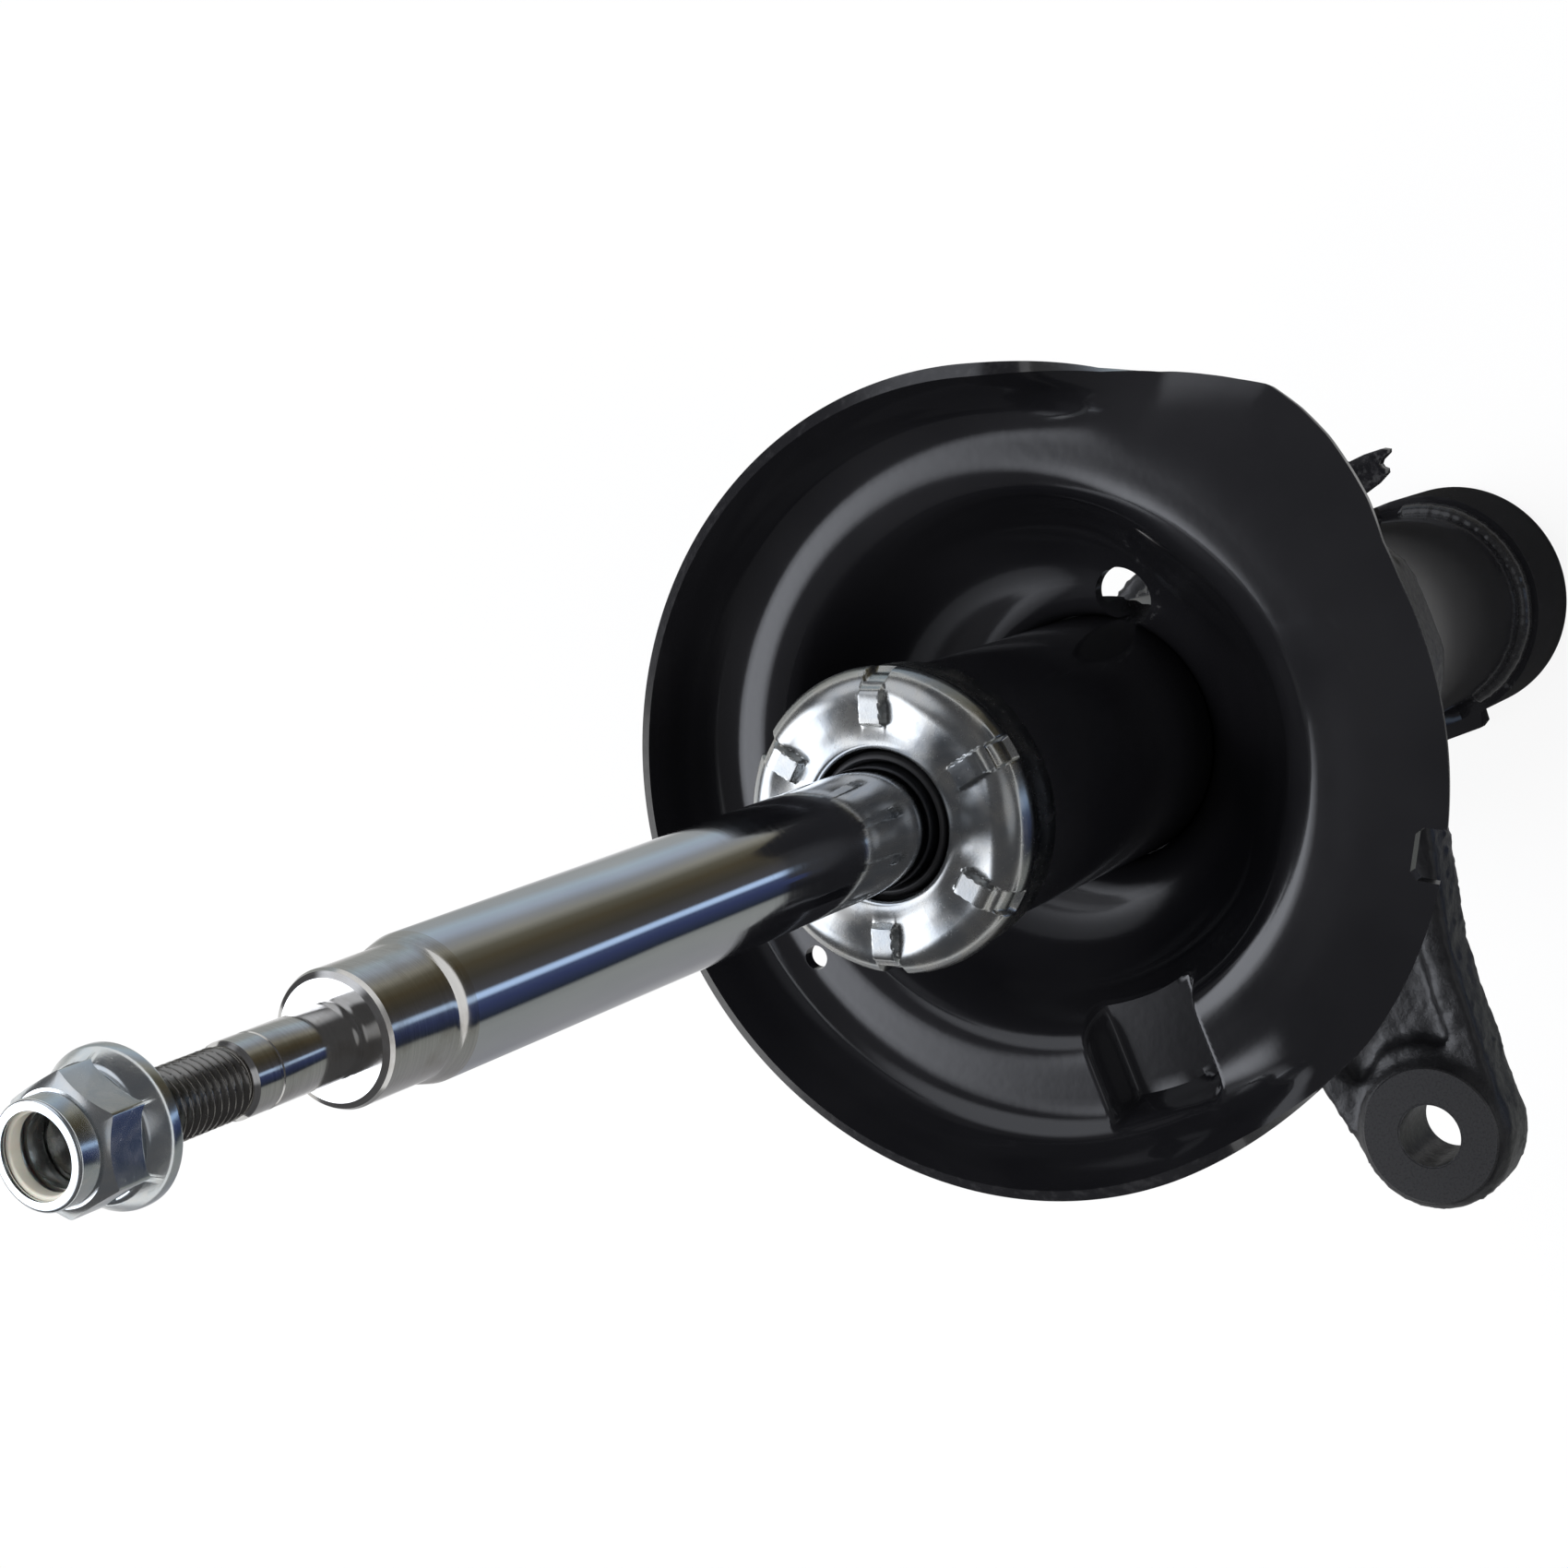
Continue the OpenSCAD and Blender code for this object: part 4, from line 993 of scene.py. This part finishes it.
def weld_bead(name, node, z, way, reach, start=0.0, sweep=360.0, ripple=0.10, stands_for=True):
    """Bead on the tube's wall, above or below an edge at height z."""
    piece = grown(name, BEAD, FINISHES["weld_black"], 60, Wall_Radius=(TUBE_R + 0.02) * MM,
                  Edge_Height=z * MM, Way=float(way), Reach=reach * MM, Rise=3.8 * MM, From=float(start),
                  Sweep=float(sweep), Ripple=ripple, Taper=float(sweep < 360), Along=int(sweep / 0.75))
    return place(piece, node) if stands_for else rides_with(piece, node)


def foot_cup():
    """Cup pressed into the tube's foot."""
    r, z = TUBE_R - 2.55, TUBE_FOOT
    profile = [(0, z + 1.2), (8, z + 1.2), (11, z + 1.0), (13.2, z + 0.5), (14.6, z + 0.12), (16, z), (r, z),
               (r, z + 4), (0, z + 4)]
    return place(tidy(lathe("foot_cup", profile, 120, closed=False), angle=40), "base_cup")


def foot_weld():
    """Bead in the groove between the tube's foot and the cup."""
    depth = TUBE_FOOT - low("base_weld")[2] - 0.02
    piece = grown("foot_weld", BEAD, FINISHES["weld_black"], 70, Wall_Radius=19.8 * MM,
                  Edge_Height=TUBE_FOOT * MM, Way=-1.0, Reach=1.95 * MM, Inner_Share=1.0, Rise=depth * MM,
                  Ripple=0.16)
    return place(piece, "base_weld")


# ---------------------------------------------------------------- steering arm
ARM_MID = ARM_TOP - EYE_T / 2
COLLAR_R, COLLAR_TOP = high("steering_arm")[0] - 0.02, high("steering_arm")[2]
COLLAR_FOOT = low("steering_arm")[2]
RIB_T, SKIRT_R, FACE_R = 13.0, 16.0, 14.0
RIB_LOW, RIB_HIGH = ARM_MID - RIB_T / 2, ARM_MID + RIB_T / 2
KEPT_IN = 0.02


def arm_solid():
    """The arm before casting skin: ribs and web round hollows, the eye, its boss, the collar and a gusset."""
    inset, far = 0.4, EYE_X + SKIRT_R
    near = EYE_X - SKIRT_R
    plan = [(-27.4, 4), (near - 8.2, 0.36 * EYE_Y), (near - 1.4, 0.66 * EYE_Y), (near + 0.3, EYE_Y - 3),
            (EYE_X, EYE_Y), (far - 1.5, EYE_Y + 6), (far + 3.8, 0.84 * EYE_Y), (far + 13.6, 0.55 * EYE_Y),
            (COLLAR_R + 1.4, 0.28 * EYE_Y), (COLLAR_R - 1.2, 6), (0, 0)]
    arm = tidy(extruded("forged_arm", plan, RIB_LOW + inset, RIB_HIGH - inset))
    hollow = [(near + 1.6, 0.40 * EYE_Y), (near + 5.2, 0.66 * EYE_Y), (EYE_X - 9.5, EYE_Y - 15),
              (EYE_X - 3, EYE_Y - 18.5), (EYE_X + 4, EYE_Y - 18.5), (far - 4.5, EYE_Y - 13),
              (far + 9.0, 0.56 * EYE_Y), (COLLAR_R - 4, 0.36 * EYE_Y), (12, 31.5), (0, 33.5), (-12, 31.5)]
    upper = tidy(extruded("part", hollow, RIB_HIGH - 3.6, RIB_HIGH + 4))
    lower = tidy(extruded("part", hollow, RIB_LOW - 4, RIB_LOW + 3.4))
    arm = combined(arm, "DIFFERENCE", upper, lower)
    eye = disc(EYE_X, EYE_Y, SKIRT_R, RIB_LOW + 0.6, RIB_HIGH - 0.6)
    boss = disc(EYE_X, EYE_Y, FACE_R + 0.5, ARM_TOP - EYE_T + 0.1, ARM_TOP - 0.1)
    collar = disc(0, 0, COLLAR_R - 0.3, COLLAR_FOOT + 0.4, COLLAR_TOP - 0.4)
    web = [(TUBE_R + 3, ARM_MID), (66, ARM_MID), (66, RIB_LOW + 1.5), (TUBE_R + 9, COLLAR_FOOT + 11),
           (TUBE_R + 3, COLLAR_FOOT + 4)]
    gusset = tidy(extruded("part", web, -4.3, 4.3))
    upright = ((0, 0, 1, 0), (1, 0, 0, 0), (0, 1, 0, 0), (0, 0, 0, 1))
    gusset.data.transform(Matrix(upright))
    return combined(arm, "UNION", eye, boss, collar, gusset)


def forged_arm():
    """Steering arm: one melted-together casting with a rough skin, bored for the eye and the tube."""
    melted = ("REMESH", {"mode": "VOXEL", "voxel_size": 0.95 * MM})
    arm = modified(arm_solid(), melted, ("SMOOTH", {"factor": 0.6, "iterations": 7}))
    co = np.array([v.co for v in arm.data.vertices]) / MM
    normals = np.array([v.normal for v in arm.data.vertices])
    rough = np.array([mnoise.fractal(Vector(c) * 0.42, 0.9, 2.1, 4) for c in co])
    blister = np.array([max(0.0, mnoise.noise(Vector(c) * 0.75) - 0.32) for c in co])
    off_face = smooth(np.hypot(co[:, 0] - EYE_X, co[:, 1] - EYE_Y), FACE_R - 1, FACE_R + 2.5)
    co = co + normals * ((0.20 * rough + 0.9 * blister - 0.12) * off_face)[:, None]
    co = np.clip(co, np.array(low("steering_arm")) + KEPT_IN, np.array(high("steering_arm")) - KEPT_IN)
    for v, c in zip(arm.data.vertices, co):
        v.co = c * MM
    bore = disc(EYE_X, EYE_Y, EYE_BORE_R, ARM_TOP - 40, ARM_TOP + 20)
    tube_way = disc(0, 0, TUBE_R + 0.05, COLLAR_FOOT - 10, COLLAR_TOP + 10, 200)
    return place(tidy(combined(arm, "DIFFERENCE", bore, tube_way), 0.002, 50), "steering_arm")


def eye_face(name, z, way):
    """Machined ring round the eye's bore, chamfered at both edges. way is 1 above the eye, -1 below."""
    t = 0.30
    profile = [(EYE_BORE_R, -t), (EYE_BORE_R + 0.35, 0.0), (10.0, 0.0), (FACE_R - 0.35, 0.0),
               (FACE_R, -0.25), (FACE_R, -t)]
    piece = tidy(lathe(name, [(r, z + way * dz) for r, dz in profile], 160), angle=30)
    piece.data.transform(Matrix.Translation((EYE_X * MM, EYE_Y * MM, 0)))
    return rides_with(painted(piece, MACHINED), "steering_arm")


# ---------------------------------------------------------------- knuckle bracket and hose bracket
SHEET = 3.5
EAR_Y, EAR_REACH, EAR_CORNER = 16.0, 70.0, 9.9
BAND_H = 21.0
BEND_FROM, BEND_TO = 16.0, 30.0


def bracket_path():
    """Inner line of the bracket in plan, from one ear's tip round the tube to the other's."""
    r = TUBE_R + 0.05
    side = [(EAR_REACH, -EAR_Y), (55, -EAR_Y), (42, -EAR_Y), (BEND_TO + 4, -EAR_Y),
            (BEND_TO + 1, -EAR_Y - 0.15), (BEND_TO - 1.6, -EAR_Y - 0.75), (BEND_TO - 4.5, -EAR_Y - 2.1), (BEND_FROM + 5, -r + 2.1),
            (BEND_FROM + 1.8, -r + 0.65), (BEND_FROM - 1.5, -r + 0.1), (BEND_FROM - 5, -r), (5, -r), (0, -r)]
    back = [(-r * math.sin(a), -r * math.cos(a)) for a in np.linspace(0, math.pi, 61)[1:-1]]
    return np.array(side + back + [(x, -y) for x, y in reversed(side)])


def ear_corner(x):
    """Height cut off the ear's corners at a place along X."""
    return max(0.0, x - (EAR_REACH - EAR_CORNER))


def bracket_top(x):
    """Height of the bracket's upper edge above its foot at a place along X."""
    full = BRACKET_TOP - BRACKET_FOOT
    straight = float(np.clip((x - 2.0) / (BEND_TO - 2.0), 0, 1))
    eased = float(smooth(x, -1.0, BEND_TO + 3.0))
    rise = 0.75 * straight + 0.25 * eased
    return min(BAND_H + (full - BAND_H) * rise, full) - ear_corner(x)


def knuckle_bracket():
    """Sheet wrapped round the tube's foot, with two ears, their bolt holes and a small lip."""
    path = bracket_path()
    line = [path[0]]
    for a, b in zip(path[:-1], path[1:]):
        n = max(1, int(np.linalg.norm(b - a) / 1.6))
        line += [a + (b - a) * k / n for k in range(1, n + 1)]
    rows = []
    for x, y in line:
        foot, top = ear_corner(x), bracket_top(x)
        rows.append([(x, y, BRACKET_FOOT + foot + (top - foot) * k / 40) for k in range(41)])
    piece = agreed(mesh_object("knuckle_bracket_sheet", *net(rows)),
                   lambda faces: min(faces, key=lambda f: f.calc_center_median().x).normal.x > 0)
    wall = {"thickness": SHEET * MM, "offset": 1.0, "use_even_offset": True}
    piece = tidy(modified(piece, ("SOLIDIFY", wall)))
    out = TUBE_R + 0.05 + SHEET
    lip = [(3.0, out - 1.6), (17.0, out - 2.0), (17.5, out + 2.2), (15.5, out + 4.0), (5.0, out + 4.0),
           (3.4, out + 3.0)]
    piece = combined(piece, "UNION", tidy(extruded("part", lip, BRACKET_FOOT, BRACKET_FOOT + SHEET)))
    for name in ("knuckle_bolt_upper", "knuckle_bolt_lower"):
        x, _, z = mounts[name]["pos_m"]
        pin = disc(0, 0, mounts[name]["dims"]["r_mm"], -40, 40, 64)
        pin.data.transform(Matrix.Translation((x, 0, z)) @ Matrix.Rotation(math.pi / 2, 4, "X"))
        piece = combined(piece, "DIFFERENCE", pin)
    piece = bevelled(tidy(piece, 0.002, 30), 0.45, 2, 50)
    return place(tidy(piece, 0.001, 40), "knuckle_bracket")


def hose_leg(foot, top):
    """Curved leg that lies on the tube below the plate."""
    r0, r1 = TUBE_R + 0.06, TUBE_R + 3.0
    b = bmesh.new()
    rows = []
    for a in [math.radians(a) for a in np.linspace(238.5, 273.5, 24)]:
        corners = ((r0, foot), (r1, foot), (r1, top), (r0, top))
        rows.append([b.verts.new((r * math.cos(a) * MM, r * math.sin(a) * MM, z * MM)) for r, z in corners])
    for p, q in zip(rows, rows[1:]):
        for k in range(4):
            b.faces.new((p[k], p[(k + 1) % 4], q[(k + 1) % 4], q[k]))
    b.faces.new(rows[0])
    b.faces.new(list(reversed(rows[-1])))
    return from_bmesh("part", b)


def hose_bracket():
    """Small plate with a hose hole and a notched end, on a leg welded to the tube."""
    top, foot = high("hose_bracket")[2], low("hose_bracket")[2]
    hole = mounts["hose_bracket_hole"]
    hx, hy = hole["pos_m"][0] / MM, hole["pos_m"][1] / MM
    r = TUBE_R + 0.06
    inner = [(r * math.cos(math.radians(a)), r * math.sin(math.radians(a))) for a in range(238, 275, 4)]
    rounded_end = [(3.2, -30), (4, -38), (2.6, -44.6), (-0.6, -47.3), (-5.4, -47.9), (-9.8, -46.2),
                   (-12, -43)]
    notched_end = [(-13.6, -36.4), (-15, -35.2), (-19.5, -35.4), (-23.4, -35.1), (-24.6, -34.4),
                   (-24.3, -33.7), (-22.3, -32.9), (-21.7, -32.2), (-21.9, -31.4), (-22.6, -30.8),
                   (-22.4, -29.9), (-19.5, -28.6), (-14.4, -27.4), (-12.9, -26), (-12.6, -21)]
    bore = circle(hx, hy, hole["dims"]["r_mm"], 40)
    plate = extruded("hose_bracket_plate", inner + rounded_end + notched_end, top - 3, top, [bore])
    piece = combined(tidy(plate), "UNION", hose_leg(foot, top - 0.5))
    piece = bevelled(tidy(piece, 0.002, 30), 0.4, 2, 50)
    return place(tidy(piece, 0.001, 40), "hose_bracket")


# ---------------------------------------------------------------- make every piece
rod_body()
rod_thread()
flange_nut()
nylon_ring()
pressed_cap()
rod_seal()
spring_seat()
outer_tube()
forged_arm()
eye_face("eye_face_upper", ARM_TOP, 1)
eye_face("eye_face_lower", ARM_TOP - EYE_T, -1)
knuckle_bracket()
hose_bracket()
foot_cup()
foot_weld()
weld_bead("seat_weld", "spring_seat_weld", low("spring_seat")[2], -1, 2.5)
weld_bead("arm_weld_upper", "steering_arm_weld", COLLAR_TOP, 1, 4.4)
weld_bead("arm_weld_lower", "steering_arm_weld", COLLAR_FOOT, -1, 4.4, stands_for=False)
weld_bead("bracket_weld", "knuckle_bracket_weld", BRACKET_FOOT + BAND_H, 1, 2.4, 96, 168, 0.03)
weld_bead("hose_weld", "hose_bracket_weld", low("hose_bracket")[2], -1, 2.4, 241, 30)

for node, obj in frame["nodes"].items():
    if not obj.hide_render:
        painted(obj, FINISHES[SLOT_OF[node]])


# ---------------------------------------------------------------- floor, light and camera
FLOOR_Z = cad_box[0][2] - 0.0005
HALF_FLOOR = 30000


def pale_floor():
    """Pale floor that looks white, shows in polished metal and keeps the strut's shadow."""
    f = Finish("pale_floor")
    f.set(Base_Color=f.mix(f.noise(60.0), (0.80, 0.80, 0.80), (0.84, 0.84, 0.84)), Roughness=0.8)
    ray = f.add("ShaderNodeLightPath").outputs
    seen = f.math("MAXIMUM", ray["Is Camera Ray"], ray["Is Glossy Ray"])
    seen = f.math("MAXIMUM", seen, ray["Is Transmission Ray"])
    glow = f.add("ShaderNodeEmission")
    f.put(glow.inputs["Color"], (1, 1, 1))
    blend = f.add("ShaderNodeMixShader")
    share = f.math("MULTIPLY", seen, 0.88)
    for socket, value in zip(blend.inputs, (share, f.shader.outputs[0], glow.outputs[0])):
        f.put(socket, value)
    f.put(f.out.inputs[0], blend.outputs[0])
    square = ((-1, -1), (1, -1), (1, 1), (-1, 1))
    corners = [(x * HALF_FLOOR, y * HALF_FLOOR, FLOOR_Z / MM) for x, y in square]
    painted(mesh_object("floor", corners, [(0, 1, 2, 3)]), f.mat)


# direction in degrees and colour of the cards round the foot
CARD_TONES = [
    (0, (1.0, 1.0, 1.0)), (12, (0.85, 0.85, 0.86)), (26, (0.42, 0.42, 0.43)), (60, (0.29, 0.29, 0.30)),
    (118, (0.27, 0.28, 0.27)), (127, (0.24, 0.25, 0.24)), (132, (0.022, 0.028, 0.042)),
    (150, (0.038, 0.05, 0.12)), (158, (0.06, 0.08, 0.16)), (162, (0.50, 0.66, 0.92)),
    (166, (0.50, 0.66, 0.92)), (170, (0.07, 0.07, 0.08)), (190, (0.055, 0.050, 0.040)),
    (208, (0.075, 0.062, 0.038)), (222, (0.12, 0.11, 0.08)), (234, (0.28, 0.27, 0.23)),
    (248, (0.28, 0.29, 0.30)), (262, (0.38, 0.43, 0.50)), (276, (0.42, 0.50, 0.56)),
    (292, (0.38, 0.40, 0.40)), (318, (0.36, 0.37, 0.36)), (332, (0.55, 0.55, 0.55)),
    (346, (0.9, 0.9, 0.9)), (360, (1.0, 1.0, 1.0)),
]


# the cards near the foot: their radius in metres, and greys by the share of it
NEAR_CARD = 0.110
NEAR_TONES = [(0.0, 0.02), (0.36, 0.02), (0.44, 0.10), (0.50, 0.42), (0.66, 0.46), (0.78, 0.12)]


# a dark flag under the seat keeps the floor out of what the tube reflects through the drain hole
FLAG_Z = -240.0


def only_reflected(card, material):
    """Stages a card that is seen by polished surfaces and nothing else."""
    for ray in ("camera", "diffuse", "shadow", "transmission", "volume_scatter"):
        setattr(card, "visible_" + ray, False)
    painted(card, material)


def reflector_cards():
    """Toned cards laid round the strut's foot, and the flag."""
    f = Finish("reflector_cards")
    radial = f.add("ShaderNodeTexGradient", gradient_type="RADIAL")
    f.put(radial.inputs[0], f.mapped(turn=(0, 0, math.pi)))
    round_about = f.ramp(radial.outputs["Fac"], *[(deg / 360.0, tone) for deg, tone in CARD_TONES])
    share = f.math("DIVIDE", f.distance(f.mapped((1, 1, 0))), NEAR_CARD)
    glow = f.add("ShaderNodeEmission")
    near = f.ramp(share, (0.80, 1.0), (1.0, 0.0))
    f.put(glow.inputs["Color"], f.mix(near, round_about, f.ramp(share, *NEAR_TONES)))
    f.put(f.out.inputs[0], glow.outputs[0])
    z = FLOOR_Z / MM + 0.3
    rings = [(0, z), (60, z), (110, z), (400, z), (1500, z + 20)]
    only_reflected(lathe("reflector_cards", rings, 120, closed=False), f.mat)
    flag = Finish("dark_flag")
    felt = flag.mix(flag.noise(30.0), (0.004, 0.004, 0.004), (0.008, 0.008, 0.008))
    flag.set(Base_Color=felt, Roughness=0.9)
    only_reflected(lathe("dark_flag", [(24, FLAG_Z), (62, FLAG_Z)], 90, closed=False), flag.mat)


SKY_LOBES = [
    # direction, cosine where it starts, cosine where it is full, colour
    ((0.75, -0.15, 0.64), 0.890, 0.960, (2.80, 2.90, 3.15)),
    ((0.10, -0.75, 0.65), 0.86, 0.96, (0.80, 0.83, 0.90)),
    ((-0.75, 0.20, 0.63), 0.92, 0.98, (0.35, 0.36, 0.38)),
]


def studio_world():
    """White to the camera. Lit surfaces see a dim room with soft bright areas overhead."""
    scene.world = bpy.data.worlds.new("studio")
    scene.world.use_nodes = True
    w = Nodes(scene.world.node_tree)
    w.tree.nodes.clear()
    coord = w.add("ShaderNodeTexCoord").outputs["Generated"]
    split = w.add("ShaderNodeSeparateXYZ")
    w.put(split.inputs[0], coord)
    climb = w.span(split.outputs[2], -0.1, 1.0, 0.0, 1.0, interpolation_type="SMOOTHSTEP")
    total = w.mix(climb, (0.085, 0.085, 0.09), (0.10, 0.10, 0.105))
    for direction, start, full, colour in SKY_LOBES:
        dot = w.add("ShaderNodeVectorMath", operation="DOT_PRODUCT")
        w.put(dot.inputs[0], coord)
        w.put(dot.inputs[1], Vector(direction).normalized())
        lobe = w.span(dot.outputs["Value"], start, full, 0.0, 1.0, interpolation_type="SMOOTHSTEP")
        total = w.mix(lobe, total, colour, blend_type="ADD")
    room, white = w.add("ShaderNodeBackground"), w.add("ShaderNodeBackground")
    w.put(room.inputs["Color"], total)
    w.put(white.inputs["Color"], (1, 1, 1))
    blend = w.add("ShaderNodeMixShader")
    seen = w.add("ShaderNodeLightPath").outputs["Is Camera Ray"]
    for socket, value in zip(blend.inputs, (seen, room.outputs[0], white.outputs[0])):
        w.put(socket, value)
    w.put(w.add("ShaderNodeOutputWorld").inputs["Surface"], blend.outputs[0])


def soft_lamp(name, at, aim, size, power):
    """Round lamp that lights matt surfaces but isn't mirrored in polished ones."""
    data = bpy.data.lights.new(name, "AREA")
    data.shape, data.size, data.energy = "DISK", size, power
    lamp = added(name, data)
    lamp.location = at
    lamp.rotation_euler = (Vector(aim) - Vector(at)).to_track_quat("-Z", "Y").to_euler()
    lamp.visible_glossy = False


def camera():
    """Above the nut, on the side away from the knuckle, looking down across the strut."""
    data = bpy.data.cameras.new("camera")
    data.sensor_width, data.lens = 36.0, 74.12
    data.clip_start, data.clip_end = 0.01, 100.0
    forward = Vector((0.532561, -0.022716, -0.846087))
    up = Vector((-0.320816, -0.930465, -0.176953))
    turn = Matrix((forward.cross(up), up, -forward)).transposed()
    cam = added("camera", data)
    cam.matrix_world = Matrix.Translation((-0.26406, 0, 0.301)) @ turn.to_4x4()
    scene.camera = cam


pale_floor()
reflector_cards()
studio_world()
soft_lamp("key", (0.5, -0.9, 1.5), (0, 0, -0.2), 0.9, 26.0)
soft_lamp("fill", (-1.3, 0.5, 0.9), (0, 0, -0.2), 1.2, 14.0)
soft_lamp("side", (0.9, 1.1, 0.3), (0, 0, -0.25), 1.0, 9.0)
camera()
scene.view_settings.view_transform = "Standard"
